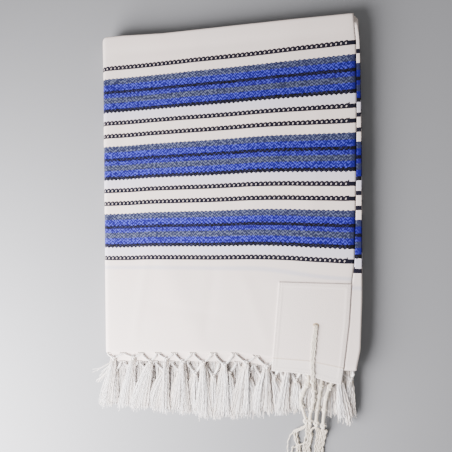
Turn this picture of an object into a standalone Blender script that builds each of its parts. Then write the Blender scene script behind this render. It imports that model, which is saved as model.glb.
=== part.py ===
"""A wool prayer shawl, folded in quarters both ways and laid flat.

Plan of the folded shawl, in millimetres: +X runs to the selvedges, +Y to the top fold, +Z up.
Y is counted from the lowest dotted stripe of the top layer. The finished pieces are moved so that
the middle of their common box stands on the origin.

Sixteen layers lie in four groups of four. The top layer turns over the left fold to the underside,
each group turns over the top fold, and the fringed hems lie together at -Y.
"""
import math

import bmesh
import bpy

MM = 0.001

# The cloth and the stack
CLOTH = 1.2
SEAM = 0.3
STACK = 19.5
CORE_LOW = CLOTH + SEAM
CORE_HIGH = STACK - 2 * (CLOTH + SEAM)
SECOND_LOW = CORE_HIGH + SEAM

# The left fold, round all sixteen layers
LEFT_FOLD_X = -156.5
LEFT_FOLD_DEPTH = 8.0
LEFT_FOLD_TAIL = 4.2
CORNER_ROUNDING = 4.0

# The right fold of the lower eight layers, and the rolled top fold of each group of four
RIGHT_FOLD_RADIUS = 4.7
RIGHT_FOLD_TAIL = 4.0
TOP_ROLL = 1.75
SECOND_SETBACK = 9.0
SECOND_DROP = 12.0
SECOND_SLOPE = 0.16

# Outlines: each row is a place along the edge and the edge's own coordinate there
SELVEDGE = (  # y, x
    (-126.0, 149.5), (-96.0, 153.0), (-72.0, 155.8), (-23.0, 158.9),
    (0.0, 161.2), (60.0, 162.0), (183.0, 162.7), (257.0, 163.4), (290.0, 160.6),
)
SECOND_SELVEDGE = (  # y, x
    (-128.0, 163.0), (-103.0, 168.3), (-44.0, 170.4), (130.0, 170.6),
    (243.0, 169.3), (262.0, 168.4), (281.0, 165.5),
)
LOWER_EDGE = (  # y, x
    (-125.0, 166.5), (-98.0, 169.9), (-45.0, 172.3), (130.0, 172.3), (235.0, 171.1), (290.0, 168.5),
)
HEM = (  # x, y
    (-165.0, -130.5), (-111.0, -126.7), (-37.0, -121.3), (18.0, -117.6),
    (64.0, -120.0), (110.0, -120.8), (150.0, -126.0),
)
SECOND_HEM_DROP = (  # x, how far the second layer hangs below the hem
    (60.0, SECOND_DROP), (110.0, 8.0), (146.0, 3.0), (163.0, 2.0),
)
TOP_FOLD = (  # x, y
    (-165.0, 298.0), (-132.0, 297.6), (-75.0, 294.0), (35.0, 291.8), (160.0, 288.6),
)

# Soft swells of the upper layers: middle x, y; half width along x, y; turn in degrees; height
SWELLS = (
    (-156.0, 90.0, 26.0, 400.0, 0.0, 1.3),
    (0.0, 296.0, 400.0, 22.0, 0.0, 0.8),
    (-60.0, -40.0, 20.0, 120.0, 24.0, 0.9),
    (70.0, 190.0, 26.0, 150.0, -14.0, 0.8),
    (105.0, -85.0, 60.0, 60.0, 0.0, 1.0),
)

# Layers of the hidden stack, top to bottom. Four groups, a to d, hold four layers each. A row gives
# how far the layer stands out from the lower edge on the right (None in the right fold), from the
# hem, and from the top fold at its left and at its right end.
LAYERS = (  # right, hem, top at the left, top at the right
    (-3.9, -1.5, -0.8, -0.8),  # a3
    (-2.3, -2.4, -0.6, -0.6),  # a4
    (-5.1, -0.6, -1.0, 1.2),  # b4
    (-6.7, -1.4, -0.6, 2.6),  # b3
    (-3.3, 0.6, -0.6, 2.4),  # b2
    (-6.5, 1.6, -1.2, 1.0),  # b1
    (-9.5, 0.4, -1.0, -0.6),  # c1
    (-9.7, 1.2, -0.6, -0.6),  # c2
    (None, -1.0, -0.6, -0.6),  # c3
    (None, -1.6, -1.2, -1.2),  # c4
    (None, -0.4, -1.0, -0.8),  # d4
    (None, -1.2, -0.6, -0.6),  # d3
    (None, 0.8, -0.9, -0.9),  # d2
)
GROOVE = 1.1
RIGHT_END_X = 160.0
PEEK_START = 60.0
PEEK_END = 115.0

# The square patch on the corner, with its eyelet
PATCH_RIGHT_LOW = (-146.0, 146.6)
PATCH_TOP = -26.0
PATCH_LEFT_TOP = 73.6
PATCH_LEFT_LOW = 64.2
PATCH_LOWER_EDGE = (  # x, y
    (64.0, -136.0), (85.0, -135.8), (108.0, -136.6), (118.0, -140.2), (134.0, -144.2), (146.0, -145.4),
)
PATCH_MARGIN = 0.6
EYELET = (117.5, -76.4)
EYELET_HALF_WIDTH = 2.9
EYELET_HALF_HEIGHT = 2.3

# Fringe: two legs run from the hem to each knot, and loose locks hang from it
FRINGE_GAP = 0.6
FRINGE_STRIP = 2.0
LEG_WIDTH = 3.2
LEG_HALF_THICKNESS = 1.0
KNOT_RADIUS = 3.1
KNOT_HALF_THICKNESS = 1.9
PRESSED_HALF_THICKNESS = 1.4
LOCK_TIP = 1.3
LOCK_REACH = 7.0
LOCK_STEPS = 4
LOCK_THINNING = 2
LOCK_SPREAD = 17.0
FRONT_KNOTS = (  # x, y, lean of the locks, y of their tips
    (-151.0, -137.0, -19.0, -206.0), (-122.0, -134.0, -6.0, -208.0),
    (-98.0, -138.0, -1.0, -205.0), (-75.0, -132.5, 2.0, -208.0),
    (-52.0, -135.0, 4.0, -204.0), (-24.0, -133.5, -3.0, -206.0),
    (4.0, -134.5, 2.0, -203.0), (32.0, -129.0, -4.0, -204.0),
    (58.0, -131.5, 1.0, -187.0), (84.0, -132.5, -2.0, -184.0),
)
FRONT_FRINGE_ENDS = (-162.0, 96.0)
CORNER_KNOTS = ((144.6, -136.5, 6.5, -188.0),)
CORNER_FRINGE_ENDS = (135.6, 149.8)
SECOND_KNOTS = (  # x, y, lean of the locks, y of their tips
    (-147.0, -153.0, -13.0, -200.0), (-126.0, -151.5, -2.0, -203.0),
    (-104.0, -151.0, 3.0, -199.0), (-79.0, -150.5, 2.0, -204.0),
    (-57.0, -150.0, -3.0, -199.0), (-36.0, -150.5, 2.0, -201.0),
    (-13.0, -151.5, 3.0, -200.0), (12.0, -148.0, -2.0, -203.0),
    (34.0, -145.0, 2.0, -196.0), (58.0, -146.0, -2.0, -182.0),
    (82.0, -147.0, 1.0, -180.0), (106.0, -147.0, 0.0, -179.0),
    (129.0, -146.0, 2.0, -178.0), (157.4, -141.0, 1.0, -190.0),
)
SECOND_FRINGE_ENDS = (-158.0, 162.0)
FRONT_LOCKS = 5
SECOND_LOCKS = 4
UNEVEN_TIPS = 5.0

# How the fringes fall: runs away from the hem, and heights of the fringe's underside
FRONT_FALL_RUN = 68.0
FRONT_FALL_HEIGHT = 7.2
FRONT_FALL_CURVE = 1.35
SECOND_STEP_RUN = 13.0
SECOND_STEP_HEIGHT = 9.4
SECOND_FALL_RUN = 55.0
SECOND_FALL_HEIGHT = 5.0

# The fringes of the hidden layers, from one strip before the stack
LOWER_LOCKS = 20
LOWER_LOCK_WIDTH = 3.0
LOWER_LOCK_TIP = -199.0
LOWER_LEAN = 18.0
LOWER_LEVELS = (2.0, 3.7, 5.4, 7.1)
LOWER_GAP = 2.9
LOWER_RIGHT_X = 158.0
LOWER_SHORTER = 13.0
LOWER_ROW_RISE = 2.3
FLOOR_GAP = 0.6

# Corner tassels: a wound stem with a knot at each end, then eight loose strings
STEM_SIDES = 8
STEMS = {  # points of each stem: x, y, z; then its half width and half height there
    "corner_tassel_1": (
        (106.6, -133.5, 17.6, 1.6, 1.6), (106.0, -146.0, 16.6, 2.5, 2.5),
        (102.2, -157.6, 14.4, 2.6, 2.6), (99.6, -172.0, 11.4, 2.6, 2.6),
        (101.4, -186.0, 9.0, 2.6, 2.6), (103.4, -196.0, 8.0, 2.6, 2.6),
        (104.0, -201.0, 7.6, 3.2, 3.2),
    ),
    "corner_tassel_2": (
        (113.4, -143.2, 20.6, 2.1, 2.1), (113.8, -147.6, 19.7, 3.1, 3.1),
        (114.4, -153.0, 18.2, 2.6, 2.6), (115.4, -166.0, 14.9, 2.6, 2.6),
        (114.6, -177.0, 12.4, 2.6, 2.6), (111.9, -188.0, 10.0, 2.6, 2.6),
        (110.7, -196.0, 8.6, 2.6, 2.6), (110.9, -200.4, 8.0, 3.2, 3.2),
    ),
    "corner_tassel_3": (
        (125.6, -133.5, 17.6, 1.6, 1.6), (124.9, -146.0, 16.6, 2.5, 2.5),
        (122.8, -159.3, 14.2, 2.6, 2.6), (121.8, -175.0, 11.0, 2.6, 2.6),
        (119.6, -188.0, 8.8, 2.6, 2.6), (118.9, -198.0, 7.9, 2.6, 2.6),
        (118.8, -202.6, 7.5, 3.2, 3.2),
    ),
    "corner_tassel_4": (
        (135.4, -133.5, 17.6, 1.6, 1.6), (134.9, -146.5, 16.6, 2.5, 2.5),
        (130.4, -161.0, 14.0, 2.6, 2.6), (128.4, -179.0, 10.4, 2.6, 2.6),
        (127.0, -192.0, 8.6, 2.6, 2.6), (126.9, -200.0, 7.8, 2.6, 2.6),
        (127.1, -204.8, 7.4, 3.2, 3.2),
    ),
}
LAST_KNOT_LENGTH = 3.4
LAST_KNOT_TAPER = 0.8

# The second tassel's strings come out of the eyelet as a flat band and cross the patch
BANDED_TASSEL = "corner_tassel_2"
BAND_HALF_WIDTH = 2.7
BAND_HALF_THICKNESS = 0.8
BAND = ((-79.8, 116.3), (-95.0, 115.1), (-108.0, 114.2), (-121.2, 113.2), (-139.6, 113.6))  # y, x
BAND_ROOT = (  # x, y, height over the patch, half width: the band rises out of the eyelet
    (117.5, -76.3, -2.2, 1.7), (117.4, -77.1, 0.8, 2.1),
)
STRING_FANS = {  # middle x of the laid strings, spacing, y of their tips
    "corner_tassel_1": (89.0, 4.6, -318.0),
    "corner_tassel_2": (105.6, 2.7, -311.0),
    "corner_tassel_3": (117.4, 2.7, -320.0),
    "corner_tassel_4": (129.2, 2.8, -313.0),
}
STRING_SIZE = 1.3
STRING_SWING = 0.03
STRING_SPREAD = 0.07
STRING_LEVELS = (1.4, 3.5)
STRING_LANES = (  # lane and level of the string from each side of the last knot
    (2, 1), (1, 1), (0, 1), (0, 0), (1, 0), (2, 0), (3, 0), (3, 1),
)
STRING_REACH = 14.0
STRING_STEPS = 6
STRING_THINNING = 1
RING_ORDER = ((-1, -1), (1, -1), (1, 1), (-1, 1))  # the corners of a strand's ring: across, up


def between(table, at):
    """Read a two-column table at a place, straight from row to row."""
    if at <= table[0][0]:
        return table[0][1]
    for (a0, b0), (a1, b1) in zip(table, table[1:]):
        if at <= a1:
            t = (at - a0) / (a1 - a0)
            return b0 + (b1 - b0) * t
    return table[-1][1]


def mix(a, b, t):
    return a + (b - a) * t


def ease(t):
    t = min(1.0, max(0.0, t))
    return t * t * (3 - 2 * t)


def hem_y(x):
    return between(HEM, x)


def top_y(x):
    """The top fold, which rounds off at the left corner."""
    past = max(0.0, LEFT_FOLD_X - x) / LEFT_FOLD_DEPTH
    return between(TOP_FOLD, x) - CORNER_ROUNDING * past * past


def second_hem_y(x):
    return hem_y(x) - between(SECOND_HEM_DROP, x)


def swell(x, y):
    """Height that the soft swells give the upper layers."""
    rise = 0.0
    for mid_x, mid_y, half_x, half_y, turn, height in SWELLS:
        a = math.radians(turn)
        u = (x - mid_x) * math.cos(a) + (y - mid_y) * math.sin(a)
        v = (y - mid_y) * math.cos(a) - (x - mid_x) * math.sin(a)
        rise += height * math.exp(-(u / half_x) ** 2 - (v / half_y) ** 2)
    return rise


def top_z(x, y):
    return STACK + swell(x, y)


def second_low_z(x, y):
    """Underside of the second layer, which slopes down past the top layer's hem."""
    return SECOND_LOW + swell(x, y) - SECOND_SLOPE * max(0.0, hem_y(x) - y)


def finish(name, bm, colour, roughness):
    """Turn a bmesh in millimetres into a named object in metres with its own material."""
    bmesh.ops.recalc_face_normals(bm, faces=bm.faces)
    bmesh.ops.scale(bm, vec=(MM, MM, MM), verts=bm.verts)
    mesh = bpy.data.meshes.new(name)
    bm.to_mesh(mesh)
    bm.free()
    material = bpy.data.materials.new(name)
    material.use_nodes = True
    shader = material.node_tree.nodes["Principled BSDF"]
    shader.inputs["Base Color"].default_value = (*colour, 1.0)
    shader.inputs["Roughness"].default_value = roughness
    shader.inputs["Metallic"].default_value = 0.0
    mesh.materials.append(material)
    mesh.shade_smooth()
    mesh.set_sharp_from_angle(angle=math.radians(50))
    piece = bpy.data.objects.new(name, mesh)
    bpy.context.scene.collection.objects.link(piece)
    return piece


WOOL = (0.80, 0.77, 0.74)
WOOL_SHADE = (0.72, 0.70, 0.69)
FRINGE_WHITE = (0.82, 0.81, 0.82)
IVORY = (0.83, 0.78, 0.72)
CLOTH_ROUGHNESS = 0.9


def sheet_wall(outer, inner):
    """A closed wall between two grids of points; rows and columns match."""
    bm = bmesh.new()
    rows = len(outer)
    columns = len(outer[0])
    out = [[bm.verts.new(p) for p in row] for row in outer]
    inn = [[bm.verts.new(p) for p in row] for row in inner]
    for i in range(rows - 1):
        for j in range(columns - 1):
            bm.faces.new((out[i][j], out[i][j + 1], out[i + 1][j + 1], out[i + 1][j]))
            bm.faces.new((inn[i][j], inn[i + 1][j], inn[i + 1][j + 1], inn[i][j + 1]))
    for i in range(rows - 1):
        bm.faces.new((out[i][0], out[i + 1][0], inn[i + 1][0], inn[i][0]))
        bm.faces.new((out[i][-1], inn[i][-1], inn[i + 1][-1], out[i + 1][-1]))
    for j in range(columns - 1):
        bm.faces.new((out[0][j], inn[0][j], inn[0][j + 1], out[0][j + 1]))
        bm.faces.new((out[-1][j], out[-1][j + 1], inn[-1][j + 1], inn[-1][j]))
    return bm


def rolled_wall(stations, rows, roll_rows, low_y, high_y):
    """A wall over a bent section, whose +Y edge rolls inward.

    Each station is its x at the hem, its x at the top fold, and a function of y that gives the
    outer point and its normal.
    """
    outer, inner = [], []
    for low_x, high_x, place in stations:
        out_line, in_line = [], []
        for row in range(rows + 1):
            y = mix(low_y(low_x), high_y(high_x), row / rows)
            (x, z), (nx, nz) = place(y)
            out_line.append((x, y, z))
            in_line.append((x - nx * CLOTH, y, z - nz * CLOTH))
        y = high_y(high_x)
        (x, z), (nx, nz) = place(y)
        for row in range(1, roll_rows + 1):
            a = math.pi * row / roll_rows
            for line, radius in ((out_line, TOP_ROLL), (in_line, TOP_ROLL - CLOTH)):
                lean = radius * math.cos(a) - TOP_ROLL
                line.append((x + nx * lean, y + radius * math.sin(a), z + nz * lean))
        outer.append(out_line)
        inner.append(in_line)
    return sheet_wall(outer, inner)


def top_stations(flat, nose):
    """The top layer, from its selvedge over the left fold to the floor."""
    stations = []
    for step in range(flat + 1):
        t = step / flat

        def on_top(y, t=t):
            x = mix(between(SELVEDGE, y), LEFT_FOLD_X, t)
            return (x, top_z(x, y)), (0.0, 1.0)

        ends = [mix(edge[1], LEFT_FOLD_X, t) for edge in (SELVEDGE[0], SELVEDGE[-1])]
        stations.append((*ends, on_top))
    for step in range(1, nose + 1):
        a = math.pi / 2 + math.pi * step / nose

        def on_fold(y, a=a):
            half = top_z(LEFT_FOLD_X, y) / 2
            along, up = LEFT_FOLD_DEPTH * math.cos(a), half * math.sin(a)
            slope = math.hypot(math.cos(a) * half, math.sin(a) * LEFT_FOLD_DEPTH)
            normal = (math.cos(a) * half / slope, math.sin(a) * LEFT_FOLD_DEPTH / slope)
            return (LEFT_FOLD_X + along, half + up), normal

        fold_x = LEFT_FOLD_X + LEFT_FOLD_DEPTH * math.cos(a)
        stations.append((fold_x, fold_x, on_fold))
    tail_x = LEFT_FOLD_X + LEFT_FOLD_TAIL
    stations.append((tail_x, tail_x, lambda y: ((tail_x, 0.0), (0.0, -1.0))))
    return stations


def under_stations(flat, nose):
    """The underside, from below the left fold to the right fold and back over it."""
    start_x = LEFT_FOLD_X + LEFT_FOLD_TAIL + SEAM
    radius = RIGHT_FOLD_RADIUS
    low_end, high_end = (edge[1] - radius for edge in (LOWER_EDGE[0], LOWER_EDGE[-1]))
    stations = []
    for step in range(flat + 1):
        t = step / flat

        def on_floor(y, t=t):
            return (mix(start_x, between(LOWER_EDGE, y) - radius, t), 0.0), (0.0, -1.0)

        stations.append((mix(start_x, low_end, t), mix(start_x, high_end, t), on_floor))
    for step in range(1, nose + 1):
        a = -math.pi / 2 + math.pi * step / nose

        def on_fold(y, a=a):
            x = between(LOWER_EDGE, y) - radius + radius * math.cos(a)
            return (x, radius + radius * math.sin(a)), (math.cos(a), math.sin(a))

        stations.append((low_end, high_end, on_fold))

    def on_tail(y):
        return (between(LOWER_EDGE, y) - radius - RIGHT_FOLD_TAIL, 2 * radius), (0.0, 1.0)

    stations.append((low_end, high_end, on_tail))
    return stations


def cut_eyelet(piece):
    """Cut the oval eyelet straight down through a piece."""
    bm = bmesh.new()
    bmesh.ops.create_cone(bm, cap_ends=True, segments=12, radius1=1.0, radius2=1.0, depth=14.0)
    bmesh.ops.scale(bm, vec=(EYELET_HALF_WIDTH, EYELET_HALF_HEIGHT, 1.0), verts=bm.verts)
    bmesh.ops.translate(bm, vec=(*EYELET, STACK), verts=bm.verts)
    cutter = finish(piece.name + "_cutter", bm, WOOL, CLOTH_ROUGHNESS)
    cutter.hide_render = True
    cutter.display_type = "WIRE"
    cut = piece.modifiers.new("eyelet", "BOOLEAN")
    cut.object = cutter
    cut.operation = "DIFFERENCE"
    cut.solver = "EXACT"


def make_top_layer():
    bm = rolled_wall(top_stations(16, 8), 20, 4, hem_y, top_y)
    cut_eyelet(finish("top_layer", bm, WOOL, CLOTH_ROUGHNESS))


def make_under_layer():
    bm = rolled_wall(under_stations(10, 6), 12, 4, hem_y, top_y)
    finish("under_layer", bm, WOOL_SHADE, CLOTH_ROUGHNESS)


def make_second_layer():
    """The layer under the top one: its selvedge and hem stand out from under it."""
    columns, rows = 14, 12
    outer, inner = [], []
    left = LEFT_FOLD_X + SEAM
    for j in range(columns + 1):
        t = j / columns
        low_x = mix(SECOND_SELVEDGE[0][1], left, t)
        high_x = mix(SECOND_SELVEDGE[-1][1], left, t)
        out_line, in_line = [], []
        high_y = top_y(high_x) - SECOND_SETBACK
        rise = [mix(hem_y(low_x), high_y, i / rows) for i in range(rows + 1)]
        for y in (second_hem_y(low_x), *rise):
            x = mix(between(SECOND_SELVEDGE, y), left, t)
            z = second_low_z(x, y)
            out_line.append((x, y, z + CLOTH))
            in_line.append((x, y, z))
        outer.append(out_line)
        inner.append(in_line)
    finish("second_layer", sheet_wall(outer, inner), WOOL, CLOTH_ROUGHNESS)


def core_left_x(z):
    """The hidden layers stay just inside the left fold."""
    up = (z - STACK / 2) / (STACK / 2 - CORE_LOW)
    return LEFT_FOLD_X - (LEFT_FOLD_DEPTH - CORE_LOW - SEAM) * math.sqrt(max(0.0, 1.0 - up * up))


def core_right_x(z, y, right):
    """Each upper layer ends at its own edge; the lower ones fill the right fold."""
    if right is not None:
        return between(LOWER_EDGE, y) + right
    inner = RIGHT_FOLD_RADIUS - CORE_LOW - SEAM
    up = (z - RIGHT_FOLD_RADIUS) / inner
    return between(LOWER_EDGE, y) - RIGHT_FOLD_RADIUS + inner * math.sqrt(max(0.0, 1.0 - up * up))


def core_ring(z, right, hem, top, top_end, inset):
    """One closed outline round the hidden layers, from the hem's left end anticlockwise."""
    along, up, left_rows = 14, 10, 4
    left = core_left_x(z)
    ring = []
    end_y = hem_y(RIGHT_END_X) + hem + inset
    end_x = core_right_x(z, end_y, right) - inset
    for step in range(along):
        x = mix(left, end_x, step / along)
        ring.append((x, hem_y(x) + hem + inset, z))
    high = top_y(RIGHT_END_X) + top_end - inset
    for step in range(up):
        y = mix(end_y, high, step / up)
        ring.append((core_right_x(z, y, right) - inset, y, z))
    start_x = core_right_x(z, high, right) - inset
    for step in range(along):
        x = mix(start_x, left, step / along)
        peek = mix(top, top_end, ease((x - PEEK_START) / (PEEK_END - PEEK_START)))
        ring.append((x, top_y(x - 2 * CORE_LOW) + peek - inset, z))
    corner_y = top_y(left - 2 * CORE_LOW) + top - inset
    for step in range(left_rows):
        ring.append((left, mix(corner_y, hem_y(left) + hem + inset, step / left_rows), z))
    return ring


def make_folded_layers():
    """The hidden layers as one solid, whose sides step out and in from layer to layer."""
    pitch = (CORE_HIGH - CORE_LOW) / len(LAYERS)
    rings = []
    for number, (right, hem, top, top_end) in enumerate(LAYERS):
        ceiling = CORE_HIGH - number * pitch
        rings.append(core_ring(ceiling, right, hem, top, top_end, GROOVE))
        rings.append(core_ring(ceiling - pitch / 2, right, hem, top, top_end, 0.0))
    rings.append(core_ring(CORE_LOW, *LAYERS[-1], GROOVE))
    bm = bmesh.new()
    loops = [[bm.verts.new(p) for p in ring] for ring in rings]
    count = len(loops[0])
    for upper, lower in zip(loops, loops[1:]):
        for i in range(count):
            j = (i + 1) % count
            bm.faces.new((upper[i], lower[i], lower[j], upper[j]))
    bm.faces.new(loops[0])
    bm.faces.new(list(reversed(loops[-1])))
    bmesh.ops.triangulate(bm, faces=[face for face in bm.faces if len(face.verts) > 4])
    finish("folded_layers", bm, WOOL_SHADE, CLOTH_ROUGHNESS)


def make_corner_patch():
    """The doubled square on the corner, laid on the top layer's own points and hanging past it."""
    columns, rows = 8, 10
    outer, inner = [], []
    for j in range(columns + 1):
        t = j / columns
        out_line, in_line = [], []
        for i in range(rows + 1):
            low = between(PATCH_LOWER_EDGE, mix(PATCH_LEFT_LOW, PATCH_RIGHT_LOW[1], t))
            y = mix(low, PATCH_TOP, i / rows)
            down = (PATCH_TOP - y) / (PATCH_TOP - low)
            left = mix(PATCH_LEFT_TOP, PATCH_LEFT_LOW, down)
            right = between((PATCH_RIGHT_LOW, *SELVEDGE), y) - PATCH_MARGIN
            x = mix(right, left, 1 - t)
            z = top_z(x, y) + SEAM
            out_line.append((x, y, z + CLOTH))
            in_line.append((x, y, z))
        outer.append(out_line)
        inner.append(in_line)
    bm = sheet_wall(list(reversed(outer)), list(reversed(inner)))
    cut_eyelet(finish("corner_patch", bm, WOOL, CLOTH_ROUGHNESS))


def in_ring_order(root, across):
    """A root's corners in the order of a strand's rings, so that the strand leaves it untwisted."""
    def fit(shift):
        total = 0.0
        for number, (side, level) in enumerate(RING_ORDER):
            spot = root[(number + shift) % 4].co
            total += side * (across[0] * spot.x + across[1] * spot.y) + level * spot.z
        return total

    best = max(range(4), key=fit)
    return [root[(number + best) % 4] for number in range(4)]


def grow_strand(bm, root, path, size, thinning):
    """Pull a root face out along a path into one four-sided strand, thinned after so many steps."""
    ring = None
    for step in range(1, len(path)):
        x, y, z = path[step]
        back = path[step - 1]
        ahead = path[min(step + 1, len(path) - 1)]
        dx, dy = ahead[0] - back[0], ahead[1] - back[1]
        length = math.hypot(dx, dy)
        across = (-dy / length, dx / length)
        if ring is None:
            ring = in_ring_order(root, across)
            width0 = (ring[1].co - ring[0].co).length
            depth0 = (ring[3].co - ring[0].co).length
        t = min(1.0, step / thinning)
        half_w = mix(width0, size, t) / 2
        half_d = mix(depth0, size, t) / 2
        new = []
        for side, level in RING_ORDER:
            spot = (x + across[0] * side * half_w, y + across[1] * side * half_w, z + level * half_d)
            new.append(bm.verts.new(spot))
        for i in range(4):
            j = (i + 1) % 4
            bm.faces.new((ring[i], ring[j], new[j], new[i]))
        ring = new
    bm.faces.new(ring)


def bend(start, direction, tip, reach, steps):
    """Points on a soft curve that leaves along a direction and ends running down to its tip."""
    p1 = (start[0] + direction[0] * reach, start[1] + direction[1] * reach)
    p2 = (tip[0], tip[1] + 2.2 * reach)
    points = []
    for step in range(steps + 1):
        t = step / steps
        s = 1 - t
        weights = (s ** 3, 3 * s * s * t, 3 * s * t * t, t ** 3)
        x = sum(w * p[0] for w, p in zip(weights, (start, p1, p2, tip)))
        y = sum(w * p[1] for w, p in zip(weights, (start, p1, p2, tip)))
        points.append((x, y))
    return points


def slab(bm, points, polygons):
    """Thicken flat polygons into a closed slab and give back the walls round it.

    A point is x, y, middle z and half thickness. The walls come back by their two points.
    """
    top = [bm.verts.new((x, y, z + half)) for x, y, z, half in points]
    low = [bm.verts.new((x, y, z - half)) for x, y, z, half in points]
    edges = set()
    for polygon in polygons:
        bm.faces.new([top[i] for i in polygon])
        bm.faces.new([low[i] for i in reversed(polygon)])
        edges.update(zip(polygon, (*polygon[1:], polygon[0])))
    border = [(a, b) for a, b in edges if (b, a) not in edges]
    return {(a, b): (low[a], low[b], top[b], top[a]) for a, b in border}


def front_fringe_low(x, y):
    """Underside of the top layer's fringe: it lies on the second layer, then falls."""
    below = hem_y(x) - y
    on_cloth = second_low_z(x, y) + CLOTH + SEAM
    if below <= SECOND_DROP:
        return on_cloth
    edge = second_low_z(x, hem_y(x) - SECOND_DROP) + CLOTH + SEAM
    t = min(1.0, (below - SECOND_DROP) / FRONT_FALL_RUN)
    return mix(edge, FRONT_FALL_HEIGHT, 1 - (1 - t) ** FRONT_FALL_CURVE)


def second_fringe_low(x, y):
    """Underside of the second layer's fringe: steep off the cloth, then easy to the floor."""
    below = second_hem_y(x) - y
    if below <= SECOND_STEP_RUN:
        edge = second_low_z(x, second_hem_y(x))
        return mix(edge, SECOND_STEP_HEIGHT, ease(below / SECOND_STEP_RUN))
    t = min(1.0, (below - SECOND_STEP_RUN) / SECOND_FALL_RUN)
    return mix(SECOND_STEP_HEIGHT, SECOND_FALL_HEIGHT, t)


def knot_half(x, y):
    """Knots under the corner patch are pressed flatter than the open ones."""
    pressed = x > PATCH_LEFT_LOW - 10.0 and y > between(PATCH_LOWER_EDGE, x)
    return PRESSED_HALF_THICKNESS if pressed else KNOT_HALF_THICKNESS


def fringe_heading(edge_y, low_z, knots, locks, ends):
    """Strip, legs and knots of a fringe, as points and polygons with the places of its locks."""
    first, last = ends
    peaks = [first + LEG_WIDTH]
    peaks += [(a[0] + b[0]) / 2 for a, b in zip(knots, knots[1:])]
    peaks += [last - LEG_WIDTH]
    points, polygons, roots = [], [], []

    def put(x, y, half, rise=0.0):
        points.append((x, y, low_z(x, y) + half + rise, half))
        return len(points) - 1

    strip = []
    for peak in peaks:
        for x in (peak - LEG_WIDTH, peak, peak + LEG_WIDTH):
            high = edge_y(x) - FRINGE_GAP
            strip.append((put(x, high, CLOTH / 2), put(x, high - FRINGE_STRIP, CLOTH / 2)))
    for (h0, l0), (h1, l1) in zip(strip, strip[1:]):
        polygons.append((h0, l0, l1, h1))
    edges = locks + 3
    for number, (x, y, lean, tip_y) in enumerate(knots):
        rim = []
        for corner in range(edges):
            a = math.pi / 2 + 2 * math.pi * (corner + 0.5) / edges
            place = (x + KNOT_RADIUS * math.cos(a), y + KNOT_RADIUS * math.sin(a))
            rim.append(put(*place, LEG_HALF_THICKNESS))
        mid = put(x, y, knot_half(x, y))
        for a, b in zip(rim, (*rim[1:], rim[0])):
            polygons.append((a, b, mid))
        left_peak, left_foot = strip[3 * number + 1][1], strip[3 * number + 2][1]
        right_foot, right_peak = strip[3 * number + 3][1], strip[3 * number + 4][1]
        polygons.append((left_peak, rim[1], rim[0], left_foot))
        polygons.append((right_foot, rim[-1], rim[-2], right_peak))
        for lock in range(locks):
            a, b = rim[lock + 1], rim[lock + 2]
            turn = math.pi / 2 + 2 * math.pi * (lock + 2) / edges
            share = lock / (locks - 1) - 0.5
            uneven = UNEVEN_TIPS * abs(math.sin(2.1 * lock + 1.7 * number))
            tip = (x + lean + LOCK_SPREAD * share, tip_y + uneven)
            roots.append((a, b, (math.cos(turn), math.sin(turn)), tip))
    return points, polygons, roots


def make_fringe(name, edge_y, low_z, knots, ends, locks):
    """A knotted fringe on one backing strip that runs between two ends along a hem."""
    bm = bmesh.new()
    points, polygons, roots = fringe_heading(edge_y, low_z, knots, locks, ends)
    walls = slab(bm, points, polygons)
    root_edges = {(a, b): (direction, tip) for a, b, direction, tip in roots}
    for edge, wall in walls.items():
        if edge not in root_edges:
            bm.faces.new(wall)
            continue
        direction, tip = root_edges[edge]
        a, b = points[edge[0]], points[edge[1]]
        start = ((a[0] + b[0]) / 2, (a[1] + b[1]) / 2)
        flat = bend(start, direction, tip, LOCK_REACH, LOCK_STEPS)
        path = [(x, y, low_z(x, y) + LEG_HALF_THICKNESS) for x, y in flat]
        grow_strand(bm, wall, path, LOCK_TIP, LOCK_THINNING)
    finish(name, bm, FRINGE_WHITE, CLOTH_ROUGHNESS)


def lower_strip_columns():
    """Places along the strip of the hidden layers' fringe: a lock, then a space, and so on."""
    pitch = (LOWER_RIGHT_X - LEFT_FOLD_X) / (LOWER_LOCKS + 0.5)
    columns = []
    for lock in range(LOWER_LOCKS + 1):
        x = LEFT_FOLD_X + pitch * lock
        columns += [x, x + pitch - LOWER_LOCK_WIDTH]
    return columns


def make_lower_fringe():
    """The fringes of the hidden layers: two rows of locks from one strip before the stack."""
    bm = bmesh.new()
    columns = lower_strip_columns()
    back, front = [], []
    for x in columns:
        y = hem_y(x) - LOWER_GAP
        back.append([bm.verts.new((x, y, z)) for z in LOWER_LEVELS])
        front.append([bm.verts.new((x, y - FRINGE_STRIP, z)) for z in LOWER_LEVELS])
    last = len(LOWER_LEVELS) - 1
    for i in range(len(columns) - 1):
        bm.faces.new((back[i][0], front[i][0], front[i + 1][0], back[i + 1][0]))
        bm.faces.new((back[i][last], back[i + 1][last], front[i + 1][last], front[i][last]))
        for k in range(last):
            bm.faces.new((back[i][k], back[i + 1][k], back[i + 1][k + 1], back[i][k + 1]))
            wall = (front[i][k], front[i + 1][k], front[i + 1][k + 1], front[i][k + 1])
            if i % 2 == 1 and k != 1:
                path = lower_lock(columns[i] + LOWER_LOCK_WIDTH / 2, LOWER_LEVELS[k], i, k)
                grow_strand(bm, wall, path, LOCK_TIP, LOCK_THINNING)
            else:
                bm.faces.new(wall)
    for k in range(last):
        bm.faces.new((back[0][k], back[0][k + 1], front[0][k + 1], front[0][k]))
        bm.faces.new((front[-1][k], front[-1][k + 1], back[-1][k + 1], back[-1][k]))
    finish("lower_fringe", bm, FRINGE_WHITE, CLOTH_ROUGHNESS)


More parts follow.
